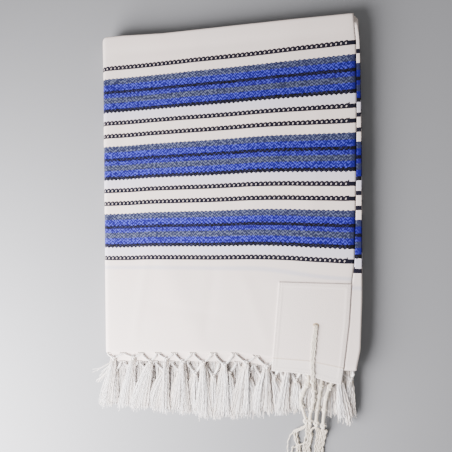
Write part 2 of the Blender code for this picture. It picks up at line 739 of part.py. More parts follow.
def lower_lock(x, low, cell, row):
    """The path of one lock from the strip down to just above the floor."""
    across = (x - LEFT_FOLD_X) / (LOWER_RIGHT_X - LEFT_FOLD_X)
    lean = -LOWER_LEAN * max(0.0, 1 - 5 * across) + 2.0 * math.sin(1.3 * cell + row)
    shorter = LOWER_SHORTER * ease((across - 0.62) / 0.1)
    uneven = UNEVEN_TIPS * abs(math.sin(0.9 * cell + 2 * row))
    tip = (x + lean, LOWER_LOCK_TIP + shorter + uneven)
    start = (x, hem_y(x) - LOWER_GAP - FRINGE_STRIP)
    flat = bend(start, (0.0, -1.0), tip, LOCK_REACH, LOCK_STEPS)
    middle = low + (LOWER_LEVELS[1] - LOWER_LEVELS[0]) / 2
    end_z = FLOOR_GAP + LOCK_TIP / 2
    if row > 0:
        end_z += LOWER_ROW_RISE
    return [(px, py, mix(middle, end_z, ease(step / LOCK_STEPS))) for step, (px, py) in enumerate(flat)]


def band_points():
    """The flat band of strings, from inside the eyelet over the patch and past its edge."""
    patch_rise = SEAM + CLOTH
    points = []
    for x, y, height, half in BAND_ROOT:
        points.append((x, y, top_z(x, y) + patch_rise + height, half, BAND_HALF_THICKNESS))
    for y, x in BAND:
        z = top_z(x, y) + patch_rise + SEAM + BAND_HALF_THICKNESS
        points.append((x, y, z, BAND_HALF_WIDTH, BAND_HALF_THICKNESS))
    return points


def stem_rings(bm, points):
    """Rings of a wound stem along its points, each square to the way it runs."""
    rings = []
    for number, (x, y, z, half_width, half_height) in enumerate(points):
        back = points[max(0, number - 1)]
        ahead = points[min(number + 1, len(points) - 1)]
        dx, dy, dz = (ahead[k] - back[k] for k in range(3))
        length = math.sqrt(dx * dx + dy * dy + dz * dz)
        flat = math.hypot(dx, dy)
        side = (-dy / flat, dx / flat)
        rise = (-dx * dz / (flat * length), -dy * dz / (flat * length), flat / length)
        ring = []
        for step in range(STEM_SIDES):
            a = 2 * math.pi * (step + 0.5) / STEM_SIDES
            c, s = half_width * math.cos(a), half_height * math.sin(a)
            spot = (x + side[0] * c + rise[0] * s, y + side[1] * c + rise[1] * s, z + rise[2] * s)
            ring.append(bm.verts.new(spot))
        rings.append(ring)
    return rings


def make_corner_tassel(name):
    """A wound stem whose last knot carries eight loose strings that drop to the floor."""
    bm = bmesh.new()
    points = STEMS[name]
    if name == BANDED_TASSEL:
        points = (*band_points(), *points)
    rings = stem_rings(bm, points)
    for near, far in zip(rings, rings[1:]):
        for i in range(STEM_SIDES):
            j = (i + 1) % STEM_SIDES
            bm.faces.new((near[i], near[j], far[j], far[i]))
    bm.faces.new(list(reversed(rings[0])))
    end_x, end_y, end_z = points[-1][:3]
    collar = []
    for vertex in rings[-1]:
        across = (vertex.co.x - end_x) * LAST_KNOT_TAPER
        up = (vertex.co.z - end_z) * LAST_KNOT_TAPER
        collar.append(bm.verts.new((end_x + across, end_y - LAST_KNOT_LENGTH, end_z + up)))
    for i in range(STEM_SIDES):
        j = (i + 1) % STEM_SIDES
        wall = (rings[-1][i], rings[-1][j], collar[j], collar[i])
        grow_strand(bm, wall, string_path(wall, i, name), STRING_SIZE, STRING_THINNING)
    bm.faces.new(collar)
    finish(name, bm, IVORY, CLOTH_ROUGHNESS)


def string_path(wall, number, name):
    """One loose string from a side of the last knot to its place among the laid strings."""
    middle, spacing, tip_y = STRING_FANS[name]
    turn = 2 * math.pi * (number + 1) / STEM_SIDES
    out_x, out_z = math.cos(turn), math.sin(turn)
    lane, level = STRING_LANES[number]
    start = [sum(v.co[k] for v in wall) / len(wall) for k in range(3)]
    tip = (middle + spacing * (lane - 1.5), tip_y + 4.0 * (number % 3))
    swing = STRING_SWING * (middle - STEMS[name][-1][0]) + STRING_SPREAD * out_x
    flat = bend(start[:2], (swing, -0.85), tip, STRING_REACH, STRING_STEPS)
    path = []
    for step, (x, y) in enumerate(flat):
        t = ease(1.6 * step / STRING_STEPS)
        path.append((x, y, mix(start[2] + out_z, STRING_LEVELS[level], t)))
    return path


def make_pieces():
    make_under_layer()
    make_folded_layers()
    make_second_layer()
    make_top_layer()
    make_corner_patch()
    make_lower_fringe()
    second = (second_hem_y, second_fringe_low)
    front = (hem_y, front_fringe_low)
    make_fringe("second_fringe", *second, SECOND_KNOTS, SECOND_FRINGE_ENDS, SECOND_LOCKS)
    make_fringe("front_fringe", *front, FRONT_KNOTS, FRONT_FRINGE_ENDS, FRONT_LOCKS)
    make_fringe("corner_fringe", *front, CORNER_KNOTS, CORNER_FRINGE_ENDS, SECOND_LOCKS)
    for name in STEMS:
        make_corner_tassel(name)


def stand_on_origin():
    """Move every piece so that the common box stands on the middle of its floor side."""
    spots = [v.co for piece in bpy.data.objects for v in piece.data.vertices if not piece.hide_render]
    shift_x = -(min(p.x for p in spots) + max(p.x for p in spots)) / 2
    shift_y = -(min(p.y for p in spots) + max(p.y for p in spots)) / 2
    for piece in bpy.data.objects:
        for vertex in piece.data.vertices:
            vertex.co.x += shift_x
            vertex.co.y += shift_y


for old in list(bpy.data.objects):
    bpy.data.objects.remove(old)
make_pieces()
stand_on_origin()
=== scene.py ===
"""A wool prayer shawl, folded in quarters both ways and laid flat on a table.

Places on the shawl are in millimetres on one plan: x runs to the selvedges, y to the top fold, z up
from the table. The plan's y is counted from the lowest chain of loops on the top layer.
"""
import math

import bmesh
import bpy
import numpy as np
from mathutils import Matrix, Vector


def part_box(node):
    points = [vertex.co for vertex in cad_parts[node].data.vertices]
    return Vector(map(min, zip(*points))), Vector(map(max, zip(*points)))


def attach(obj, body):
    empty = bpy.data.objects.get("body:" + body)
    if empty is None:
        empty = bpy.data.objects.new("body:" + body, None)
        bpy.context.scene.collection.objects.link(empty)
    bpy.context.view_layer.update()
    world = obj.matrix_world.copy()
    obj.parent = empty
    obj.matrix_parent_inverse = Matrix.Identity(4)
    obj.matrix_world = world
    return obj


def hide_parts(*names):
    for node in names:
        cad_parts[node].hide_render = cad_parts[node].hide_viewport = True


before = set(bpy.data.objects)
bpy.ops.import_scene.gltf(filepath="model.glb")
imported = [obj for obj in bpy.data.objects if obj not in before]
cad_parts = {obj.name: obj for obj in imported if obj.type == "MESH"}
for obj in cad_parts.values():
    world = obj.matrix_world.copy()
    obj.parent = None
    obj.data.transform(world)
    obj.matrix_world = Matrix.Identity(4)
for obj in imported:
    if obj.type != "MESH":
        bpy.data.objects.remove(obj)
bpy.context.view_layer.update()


# ------------------------------------------------------------------ the table, the lamp, the camera
# The shawl lies on a plain pale table, under one wide soft lamp at the near left and an even, dim
# sky. The camera looks down at it from just above, turned a little to the right.
MM = 0.001
FOLD_NOSE_X = -164.5
HEM = (  # x, y: the fringed edge
    (-165.0, -130.5), (-111.0, -126.7), (-37.0, -121.3), (18.0, -117.6),
    (64.0, -120.0), (110.0, -120.8), (150.0, -126.0),
)
TABLE_HALF = 3.0
TABLE_DROP = 0.0002
TABLE_GREY = (0.27, 0.28, 0.30, 1.0)
LAMP_SPOT = (-0.50, -0.32, 0.37)
LAMP_WIDTH = 0.70
LAMP_POWER = 34.0
LAMP_TINT = (1.0, 0.955, 0.945)
SKY_TINT = (1.0, 0.965, 0.935, 1.0)
SKY_STRENGTH = 0.35
EYE = (105.4, 46.65, 457.5)
EYE_TURN = (-0.01023, 0.21936, -0.00719)
FOCAL_LENGTH = 28.27


def read(table, at):
    """Read a two-column table at a place or an array of places."""
    return np.interp(at, [row[0] for row in table], [row[1] for row in table])


def hem_y(x):
    return read(HEM, x)


PLAN_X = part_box("top_layer")[0].x - FOLD_NOSE_X * MM
PLAN_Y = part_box("top_layer")[0].y - hem_y(FOLD_NOSE_X) * MM


def place(x, y, z):
    """A point of the plan, in the frame's metres."""
    return Vector((PLAN_X + x * MM, PLAN_Y + y * MM, z * MM))


def put_in_scene(name, data):
    """A new object that shows a mesh, a lamp or a lens."""
    thing = bpy.data.objects.new(name, data)
    bpy.context.scene.collection.objects.link(thing)
    return thing


def start_material(name):
    material = bpy.data.materials.new(name)
    material.use_nodes = True
    return material, material.node_tree


def make_table():
    bm = bmesh.new()
    bmesh.ops.create_grid(bm, x_segments=1, y_segments=1, size=TABLE_HALF)
    mesh = bpy.data.meshes.new("table")
    bm.to_mesh(mesh)
    bm.free()
    table = put_in_scene("table", mesh)
    table.location = (0.0, 0.0, -TABLE_DROP)
    paint, tree = start_material("table_paint")
    shader = tree.nodes["Principled BSDF"]
    shader.inputs["Base Color"].default_value = TABLE_GREY
    shader.inputs["Roughness"].default_value = 0.8
    mesh.materials.append(paint)
    return table


def hang_lamp():
    lamp = bpy.data.lights.new("wide_lamp", "AREA")
    lamp.shape = "DISK"
    lamp.size = LAMP_WIDTH
    lamp.energy = LAMP_POWER
    lamp.color = LAMP_TINT
    holder = put_in_scene("wide_lamp", lamp)
    holder.location = LAMP_SPOT
    holder.rotation_euler = (-Vector(LAMP_SPOT)).to_track_quat("-Z", "Y").to_euler()


def light_sky():
    sky = bpy.data.worlds.new("studio")
    sky.use_nodes = True
    glow = sky.node_tree.nodes["Background"]
    glow.inputs["Color"].default_value = SKY_TINT
    glow.inputs["Strength"].default_value = SKY_STRENGTH
    bpy.context.scene.world = sky


def set_camera():
    lens = bpy.data.cameras.new("camera")
    lens.sensor_width = 36.0
    lens.lens = FOCAL_LENGTH
    lens.clip_start = 0.02
    camera = put_in_scene("camera", lens)
    camera.location = place(*EYE)
    camera.rotation_euler = EYE_TURN
    bpy.context.scene.camera = camera


table = make_table()
hang_lamp()
light_sky()
set_camera()


# ------------------------------------------------------------------ the lowest layer
# Off-white wool twill, woven in one length with broad bands of blue and slate herringbone and thin
# chains of black loops across it. This layer lies on the table, and turns up over the right fold.
CLOTH = 1.0
STACK = 19.5
CORE_HIGH = 16.5
CORE_LOW = 1.5
PITCH = (CORE_HIGH - CORE_LOW) / 13
LEFT_FOLD_X = -156.5
LEFT_FOLD_DEPTH = 9.4
LEFT_FOLD_TAIL = 4.2
RIGHT_FOLD_RADIUS = 4.2
CORNER_ROUNDING = 4.0
ROLL_BULGE = 1.5
ROLL_DROP = PITCH * 1.5
ROLL_STEPS = 8
UNDER_ROWS = 50
UNDER_SLIP = 4.0
TOP_FOLD = (  # x, y
    (-165.0, 298.0), (-132.0, 297.6), (-75.0, 294.0), (35.0, 291.8), (160.0, 288.6),
)
LOWER_EDGE = (  # y, x: the right fold
    (-125.0, 166.5), (-98.0, 169.9), (-45.0, 172.3), (130.0, 172.3), (235.0, 171.1), (290.0, 168.5),
)

BAND_TOP = 260.0
BAND_PITCH = 91.2
BAND_REPEATS = 3
GROUND_TONES = (236, 230, 226), (243, 239, 236)
BLUE_TONES = (22, 8, 104), (74, 80, 206)
BAND_CHART = (  # distance below the start of a repeat, dark yarn and pale yarn, share of colour
    (0.0, GROUND_TONES, 0.0),
    (17.4, ((38, 42, 74), (96, 104, 134)), 1.0),
    (25.4, BLUE_TONES, 1.0),
    (33.2, ((5, 5, 18), (40, 41, 86)), 1.0),
    (37.6, ((24, 10, 100), (72, 78, 196)), 1.0),
    (43.0, ((38, 42, 70), (94, 102, 130)), 1.0),
    (50.4, BLUE_TONES, 1.0),
    (57.8, ((6, 5, 14), (44, 44, 72)), 1.0),
    (63.0, GROUND_TONES, 0.0),
)
LINE_STARTS = 57.8
PLAIN_END = 5.0
PLAIN_FADE = 4.0
TEETH = 1.3
LINE_TEETH = 0.6

HERRINGBONE_ROW = 3.9
HERRINGBONE_RISE = 3.4
YARN_FLECK = 2.8
FLECK_EDGE = (1.10, 1.46)
NEAR_GRAIN = 0.75
GRAIN_GROWS = (90.0, 260.0)
# painted shade: the bands are darkened away from the selvedge, towards the left, where the lamp is
# strongest
BAND_PAINTED_SHADE = 0.18
BAND_PAINTED_SHADE_FROM = (150.0, 330.0)
BAND_PAINTED_SHADE_TONE = (10, 8, 40)
TWILL_TURN = 2.6

GROUND_CLOUDS = (244, 227, 222), (242, 231, 227)
GROUND_FLECK = (228, 220, 214)
BLUISH_TONE = (208, 206, 226)
BLUISH_FROM = 58.0
BLUISH_FADE = (71.0, 79.0)
GHOST_TONE = (196, 198, 216)
GHOST_Y = -20.2
GHOST_CLIMB = 7.6
GHOST_RUN = (5.0, 125.0)

CHAIN_TONE = (22, 21, 36)
CHAIN_ROWS = (3.8, 77.6)
CHAIN_BAR = 8.2
BAR_HALF = 2.7
SPUR_HALF = 0.8
SPUR_LENGTH = 2.4
SPURS_BELOW = 20.0
LOOP_PITCH = 5.6
LOOP_LEAN = 0.24
LOOP_RADIUS = 2.0
LOOP_TOP = 0.4
LOOP_FEET = (2.4, 3.2)
LOOP_THREAD = (1.06, 1.45)
LOOP_HAZE = 0.26


def tone(red, green, blue):
    """A colour in linear light from its everyday 0 to 255 values."""
    return tuple((value / 255) ** 2.2 for value in (red, green, blue))


def plug(tree, socket, value):
    """Set a socket to a number or a colour, or link a reading or an output to it."""
    if isinstance(value, (int, float)):
        socket.default_value = value
    elif isinstance(value, tuple):
        socket.default_value = (*value, 1.0)
    else:
        tree.links.new(getattr(value, "socket", value), socket)


def calc(tree, operation, *values):
    """One Math node; a value is a number or a reading."""
    node = tree.nodes.new("ShaderNodeMath")
    node.operation = operation
    for socket, value in zip(node.inputs, values):
        plug(tree, socket, value)
    return Reading(tree, node.outputs[0])


class Reading:
    """A number at each spot of a surface; arithmetic with it adds Math nodes to the material."""

    def __init__(self, tree, socket):
        self.tree = tree
        self.socket = socket

    def math(self, operation, *others):
        return calc(self.tree, operation, self, *others)

    def __add__(self, other):
        return self.math("ADD", other)

    def __sub__(self, other):
        return self.math("SUBTRACT", other)

    def __rsub__(self, other):
        return calc(self.tree, "SUBTRACT", other, self)

    def __mul__(self, other):
        return self.math("MULTIPLY", other)

    def __truediv__(self, other):
        return self.math("DIVIDE", other)

    def __gt__(self, other):
        return self.math("GREATER_THAN", other)

    def __lt__(self, other):
        return self.math("LESS_THAN", other)

    def __abs__(self):
        return self.math("ABSOLUTE")

    def rise(self, low, high):
        """Goes smoothly from 0 to 1 as the reading goes from low to high."""
        node = self.tree.nodes.new("ShaderNodeMapRange")
        node.interpolation_type = "SMOOTHSTEP"
        plug(self.tree, node.inputs["Value"], self)
        plug(self.tree, node.inputs["From Min"], low)
        plug(self.tree, node.inputs["From Max"], high)
        return Reading(self.tree, node.outputs["Result"])

    def fall(self, low, high):
        return 1.0 - self.rise(low, high)

    def blend(self, first, second):
        """Mix two colours, with this reading as the share of the second."""
        node = self.tree.nodes.new("ShaderNodeMix")
        node.data_type = "RGBA"
        for index, value in ((0, self), (6, first), (7, second)):
            plug(self.tree, node.inputs[index], value)
        return node.outputs[2]


def read_chart(tree):
    """The two readings of the chart that each piece carries."""
    chart = tree.nodes.new("ShaderNodeUVMap")
    chart.uv_map = "weave"
    split = tree.nodes.new("ShaderNodeSeparateXYZ")
    tree.links.new(chart.outputs["UV"], split.inputs[0])
    return Reading(tree, split.outputs["X"]), Reading(tree, split.outputs["Y"])


def speckle(tree, size, detail):
    """Cloudy noise of about the given size in millimetres, around 0.5."""
    where = tree.nodes.new("ShaderNodeTexCoord")
    node = tree.nodes.new("ShaderNodeTexNoise")
    tree.links.new(where.outputs["Object"], node.inputs["Vector"])
    node.inputs["Scale"].default_value = 1 / (size * MM)
    node.inputs["Detail"].default_value = detail
    return Reading(tree, node.outputs["Fac"])


def dye_ramp(tree, share, yarn):
    """The colours of one yarn down a repeat, and where they cover the ground."""
    node = tree.nodes.new("ShaderNodeValToRGB")
    ramp = node.color_ramp
    ramp.interpolation = "CONSTANT"
    plug(tree, node.inputs["Fac"], share)
    for number, (start, tones, coloured) in enumerate(BAND_CHART):  # a new ramp has two stops
        stop = ramp.elements[number] if number < 2 else ramp.elements.new(start / BAND_PITCH)
        stop.position = start / BAND_PITCH
        stop.color = (*tone(*tones[yarn]), coloured)
    return node.outputs["Color"], Reading(tree, node.outputs["Alpha"])


def wool_surface(tree, colour, height, sheen=0.04):
    """Matt wool: its colour, the relief of its yarns in millimetres, and its nap."""
    shader = tree.nodes["Principled BSDF"]
    relief = tree.nodes.new("ShaderNodeBump")
    relief.inputs["Distance"].default_value = MM
    relief.inputs["Strength"].default_value = 0.5
    plug(tree, relief.inputs["Height"], height)
    plug(tree, shader.inputs["Normal"], relief.outputs["Normal"])
    plug(tree, shader.inputs["Base Color"], colour)
    shader.inputs["Roughness"].default_value = 0.88
    shader.inputs["Sheen Weight"].default_value = sheen
    shader.inputs["Sheen Roughness"].default_value = 0.5
    shader.inputs["Specular IOR Level"].default_value = 0.2


def plain_ground(tree):
    """Off-white wool, cloudy and finely flecked."""
    first, second = GROUND_CLOUDS
    cloudy = speckle(tree, 60.0, 2.0).blend(tone(*first), tone(*second))
    return (speckle(tree, 2.2, 3.0) * 0.5).blend(cloudy, tone(*GROUND_FLECK))


def weave_wool(name):
    """Wool with the woven bands; its chart holds the distance from the selvedge, and y."""
    material, tree = start_material(name)
    across, along = (reading * 1000.0 for reading in read_chart(tree))

    # which part of the repeat, and the zigzag that the herringbone and the stripes' edges follow
    down = BAND_TOP - along
    within = (down > 0.0) * (down < BAND_REPEATS * BAND_PITCH)
    repeat = down.math("MODULO", BAND_PITCH)
    zigzag = across.math("PINGPONG", LOOP_PITCH / 2) / (LOOP_PITCH / 2)
    open_weave = across.rise(PLAIN_END - PLAIN_FADE, PLAIN_END + PLAIN_FADE)
    teeth = repeat.rise(LINE_STARTS - 1.8, LINE_STARTS + 3.2) * LINE_TEETH + TEETH
    share = (repeat + (zigzag - 0.5) * open_weave * teeth) / BAND_PITCH
    dark, coloured = dye_ramp(tree, share, 0)
    pale, _ = dye_ramp(tree, share, 1)
    coloured = coloured * within

    # herringbone: rows that follow the zigzag, uneven like the yarn, and fainter near the selvedge
    climb = along + zigzag * HERRINGBONE_RISE
    row = (climb / (HERRINGBONE_ROW / 2)).math("PINGPONG", 1.0)
    grain = speckle(tree, YARN_FLECK, 0.0) * 1.5 + row * 0.8
    strength = across.rise(*GRAIN_GROWS) * (1 - NEAR_GRAIN) + NEAR_GRAIN
    grain = grain.rise(*FLECK_EDGE) * open_weave * strength
    # painted shade: the bands grow darker towards the left, away from the selvedge
    deeper = across.rise(*BAND_PAINTED_SHADE_FROM) * BAND_PAINTED_SHADE
    band = deeper.blend(grain.blend(dark, pale), tone(*BAND_PAINTED_SHADE_TONE))

    # the ground: bluish below each band, and a line where the layer below shows through
    ground = plain_ground(tree)
    bluish = repeat.fall(*BLUISH_FADE) * (repeat > BLUISH_FROM) * within
    ground = (bluish * 0.85).blend(ground, tone(*BLUISH_TONE))
    ghost = abs(along - (across.rise(*GHOST_RUN) * GHOST_CLIMB + GHOST_Y)).fall(0.5, 4.0)
    ground = (ghost * 0.55).blend(ground, tone(*GHOST_TONE))
    colour = coloured.blend(ground, band)

    # chains of black loops that lean and join, each with a solid bar and a spur at the selvedge
    first, second = CHAIN_ROWS
    off_row = repeat - ((repeat > (first + second) / 2) * (second - first) + first)
    side = (across - off_row * LOOP_LEAN).math("PINGPONG", LOOP_PITCH / 2)
    below = off_row + LOOP_TOP
    below = below.math("MINIMUM", below * 0.5)
    radius = (side * side + below * below).math("SQRT")
    loops = abs(radius - LOOP_RADIUS).fall(*LOOP_THREAD) * off_row.fall(*LOOP_FEET)
    loops = loops.math("MAXIMUM", abs(off_row).fall(1.8, 3.2) * LOOP_HAZE)
    loops = loops * (across > CHAIN_BAR - 1.0)
    bar = (across < CHAIN_BAR) * (abs(off_row) < BAR_HALF)
    spur = (abs(across - CHAIN_BAR) < SPUR_HALF) * (abs(off_row + SPUR_LENGTH) < SPUR_LENGTH)
    bar = bar.math("MAXIMUM", spur * (down > SPURS_BELOW))
    colour = (loops.math("MAXIMUM", bar) * within).blend(colour, tone(*CHAIN_TONE))

    twill = ((across + along) * TWILL_TURN).math("SINE")
    height = twill * 0.04 + row * coloured * 0.15 + speckle(tree, 1.1, 3.0) * 0.2
    wool_surface(tree, colour, height)
    return material


def top_y(x):
    """The top fold, which rounds off at the left corner."""
    past = np.maximum(0.0, LEFT_FOLD_X - x) / LEFT_FOLD_DEPTH
    return read(TOP_FOLD, x) - CORNER_ROUNDING * past * past


def layer_z(number):
    """Middle of a hidden layer's thickness; layer 2 is the highest of them and 14 the lowest."""
    return CORE_HIGH - (number - 1.5) * PITCH


def build(name, points, faces, charted, material):
    """A named piece on the shawl's body, from points on the plan, faces and a chart."""
    mesh = bpy.data.meshes.new(name)
    shifted = np.asarray(points) * MM + np.array((PLAN_X, PLAN_Y, 0.0))
    mesh.from_pydata(shifted.tolist(), [], [face for group in faces for face in group.tolist()])
    corners = np.empty(len(mesh.loops), int)
    mesh.loops.foreach_get("vertex_index", corners)
    weave = mesh.uv_layers.new(name="weave")
    weave.data.foreach_set("uv", np.asarray(charted, float)[corners].ravel())
    mesh.materials.append(material)
    mesh.shade_smooth()
    piece = put_in_scene(name, mesh)
    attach(piece, "root")
    return piece


def cloth_wall(name, middle, chart, material, thickness=CLOTH):
    """A thin closed shell on a grid of middle points, with its chart in millimetres."""
    run = np.gradient(middle, axis=1)
    fall = np.gradient(middle, axis=0)
    normal = np.cross(run, fall)
    normal /= np.linalg.norm(normal, axis=2, keepdims=True)
    half = np.asarray(thickness)[..., None] / 2 * normal
    points = np.concatenate([(middle + half).reshape(-1, 3), (middle - half).reshape(-1, 3)])
    rows, columns = middle.shape[:2]
    count = rows * columns
    index = np.arange(count).reshape(rows, columns)
    corners = (index[:-1, :-1], index[:-1, 1:], index[1:, 1:], index[1:, :-1])
    face = np.stack([corner.ravel() for corner in corners], 1)
    faces = [face, face[:, ::-1] + count]
    for line in (index[0, ::-1], index[-1], index[:, 0], index[::-1, -1]):
        faces.append(np.stack((line[:-1], line[1:], line[1:] + count, line[:-1] + count), 1))
    charted = np.concatenate([chart.reshape(-1, 2)] * 2) * MM
    return build(name, points, faces, charted, material)


def rolled_cloth(name, stations, rows, slip, material):
    """A layer from station to station across the shawl, rolled over at the top fold.

    A station gives x at the hem, x at the top fold, and points and outward normals at places y.
    slip says how far the weave lies moved along y at a spot.
    """
    lines, charts = [], []
    away, last = 0.0, None
    turn = np.linspace(0.0, math.pi, ROLL_STEPS + 1)[1:, None]
    for low_x, high_x, station in stations:
        low, high = hem_y(low_x), top_y(high_x)
        y = np.linspace(low, high, rows)
        point, _ = station(y)
        end, normal = station(np.array([high]))
        rolled = end + normal * ROLL_DROP * (np.cos(turn) - 1)
        rolled[:, 1] += ROLL_BULGE * np.sin(turn[:, 0])
        line = np.concatenate([point, rolled])
        if last is not None:
            away += np.linalg.norm(line[rows // 2] - last)
        last = line[rows // 2]
        lines.append(line)
        chart_y = np.concatenate([y, high + ROLL_DROP * turn[:, 0]])
        chart_y = chart_y + slip(line[:, 0], line[:, 1])
        charts.append(np.stack((np.full(len(chart_y), away), chart_y), 1))
    return cloth_wall(name, np.array(lines), np.array(charts), material)


def spots(x, y, z, out_x, out_z):
    """Points and outward normals at places y; each number may also be one for each y."""
    x, y, z, out_x, out_z = np.broadcast_arrays(x, y, z, out_x, out_z)
    return np.stack((x, y, z), 1), np.stack((out_x, np.zeros_like(y), out_z), 1)


def lower_stations():
    """The layer over the right fold, the fold, and the lowest layer to the left fold."""
    start_x = LEFT_FOLD_X + LEFT_FOLD_TAIL + CLOTH / 2
    shares = np.linspace(0.0, 1.0, 36)
    angles = np.linspace(math.pi / 2, -math.pi / 2, 14)[1:-1]
    steps = [(share, 0.0, 1.0) for share in shares]
    steps += [(1.0, math.cos(angle), math.sin(angle)) for angle in angles]
    steps += [(share, 0.0, -1.0) for share in shares[::-1]]

    def line_x(y, share):
        return start_x + (read(LOWER_EDGE, y) - CLOTH / 2 - RIGHT_FOLD_RADIUS - start_x) * share

    stations = []
    for share, c, s in steps:
        def station(y, share=share, c=c, s=s):
            x = line_x(y, share) + RIGHT_FOLD_RADIUS * c
            return spots(x, y, CLOTH / 2 + RIGHT_FOLD_RADIUS * (1 + s), c, s)

        ends = [line_x(edge[0], share) for edge in (LOWER_EDGE[0], LOWER_EDGE[-1])]
        stations.append((*ends, station))
    return stations


wool = weave_wool("striped_wool")
under_cloth = rolled_cloth("under_layer_cloth", lower_stations(), UNDER_ROWS,
                           lambda x, y: UNDER_SLIP, wool)
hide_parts("under_layer")


# ------------------------------------------------------------------ the hidden layers
# Between the lowest and the second layer, the same cloth lies in four strips, each folded up and
# down: rolled over at the top fold and creased at the hem. Their edges step in and out a little.
PEEK_START = 60.0
PEEK_END = 115.0
PEEK_LESS = 0.8
STRIP_CLOTH = 0.95
EDGE_WAVER = 0.35
NOSE_LESS = 2.2
HIDDEN_COLUMNS = 30
HIDDEN_STEPS = 26
STRIPS = (  # name; runs as layer, stand-out at the right, hem and top; starts upwards; shift; cut
    ("inner_pair_cloth", ((3, -2.3, -2.4, -1.4), (2, -3.9, -1.5, -1.8)), False, 7.0, (0.33, 0.84)),
    ("free_quarter_cloth", ((7, -6.5, 1.6, 0.4), (4, -5.1, -0.6, 0.6), (5, -6.7, -1.4, 1.8),
                            (6, -3.3, 0.6, 1.6)), True, -6.0, (0.325, 1.68)),
    ("upper_inner_cloth", ((11, -9.9, -1.6, -1.8), (10, -9.9, -1.0, -2.4),
                           (9, -9.7, 1.2, -2.4)), False, 3.0, (0.32, 1.26)),
    ("lower_inner_cloth", ((12, -9.9, -0.4, -1.8), (13, -9.9, -1.2, -2.4),
                           (14, -9.9, 0.8, -2.4)), False, -4.0, (0.32, 1.26)),
)


def strip_rows(runs, upwards):
    """Rows along a folded strip: share of the way up, bulge, height, and the three stand-outs."""
    rows = []
    for number, (layer, *stand_out) in enumerate(runs):
        z = layer_z(layer)
        shares = np.linspace(0.0, 1.0, HIDDEN_STEPS)
        for share in (shares if upwards else shares[::-1]):
            rows.append((share, 0.0, z, *stand_out))
        if number + 1 == len(runs):
            break
        next_layer, *next_out = runs[number + 1]
        next_z = layer_z(next_layer)
        for turn in np.linspace(0.0, math.pi, 8)[1:-1]:
            t = (1 - math.cos(turn)) / 2
            bulge = abs(next_z - z) / 2 * math.sin(turn) * (1.0 if upwards else -1.0)
            outs = [a + (b - a) * t for a, b in zip(stand_out, next_out)]
            rows.append((1.0 if upwards else 0.0, bulge, z + (next_z - z) * t, *outs))
        upwards = not upwards
    return rows


def lay_strip(name, runs, upwards, shift):
    """One folded strip; its folds at the top stand out most at the right."""
    columns = np.linspace(0.0, 1.0, HIDDEN_COLUMNS) ** 1.15
    middle, chart = [], []
    for share, bulge, z, right, low, high in strip_rows(runs, upwards):
        level = (z - STACK / 2) / (STACK / 2 - CORE_LOW)
        nose = (LEFT_FOLD_DEPTH - NOSE_LESS) * math.sqrt(max(0.0, 1.0 - level * level))
        edge_y = LOWER_EDGE[0][0] + (LOWER_EDGE[-1][0] - LOWER_EDGE[0][0]) * share
        edge_x = read(LOWER_EDGE, edge_y) + right + EDGE_WAVER * math.sin(edge_y / 17.0 + 9.0 * z)
        x = edge_x + (LEFT_FOLD_X - nose - edge_x) * columns
        peek = high * np.clip((x - PEEK_START) / (PEEK_END - PEEK_START), 0.0, 1.0) - PEEK_LESS
        bottom, top = hem_y(x) + low, top_y(x) + peek
        y = bottom + (top - bottom) * share + bulge
        middle.append(np.stack((x, y, np.full_like(x, z)), 1))
        chart.append(np.stack((edge_x - x, y + shift), 1))
    return cloth_wall(name, np.array(middle), np.array(chart), wool, thickness=STRIP_CLOTH)


for name, runs, upwards, shift, cut in STRIPS:
    strip = lay_strip(name, runs, upwards, shift)
    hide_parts("folded_layers")


# ------------------------------------------------------------------ the lower fringes
# The hidden layers end in the same fringe as the others: the cloth's own white warp, left loose.
# It falls in front of the stack to the table, most of it below the upper fringes.
LOWER_RIGHT_X = 158.0
LOWER_LOCKS = 40
LOWER_THREADS = 34
LOWER_TIP_Y = -201.0
LOWER_RAGGED = 3.5
LOWER_LEAN = 18.0
LOWER_SHORTER = 13.0
LOWER_DEPTH = 8.0
LOWER_FALL = (  # distance below the hem, height of the highest threads
    (0.0, 15.0), (12.0, 14.2), (26.0, 11.0), (80.0, 5.0),
)
LOWER_STRAYS = (  # threads; start x, y, z; tip x, y, z
    (3, (-160.0, -147.0, 13.0), (-186.0, -161.5, 11.0)),
    (9, (-161.0, -150.0, 11.0), (-177.0, -170.0, 8.0)),
    (5, (-162.0, -158.0, 9.0), (-184.0, -177.0, 7.0)),
)
LOWER_HALF_WIDTH = 4.4
LOWER_TIP_HALF_WIDTH = 5.0
LOWER_LEAD = (0.0, -9.0)
LOWER_DRAW = (0.0, 18.0)
LOWER_CRIMP = (0.5, 12.0)
THREAD_RADIUS = 0.31
YARN_SHEEN = 0.45
CRIMP_STARTS = 12.0


def dye_yarn(name, pale, deep_and_shade, nap):
    """Loose yarn: each has its own tone, and near its root it is painted deeper, as painted shade.
    """
    material, tree = start_material(name)
    shade, along = read_chart(tree)
    # painted shade: the deep tone grows towards each yarn's root; the chart's shade adds a share of
    # it, partly at random
    deeper = shade * 0.6 + along.fall(0.0, 0.35) * 0.35
    colour = deeper.blend(tone(*pale), tone(*deep_and_shade))
    wool_surface(tree, colour, speckle(tree, 0.8, 2.0) * nap, YARN_SHEEN)
    return material


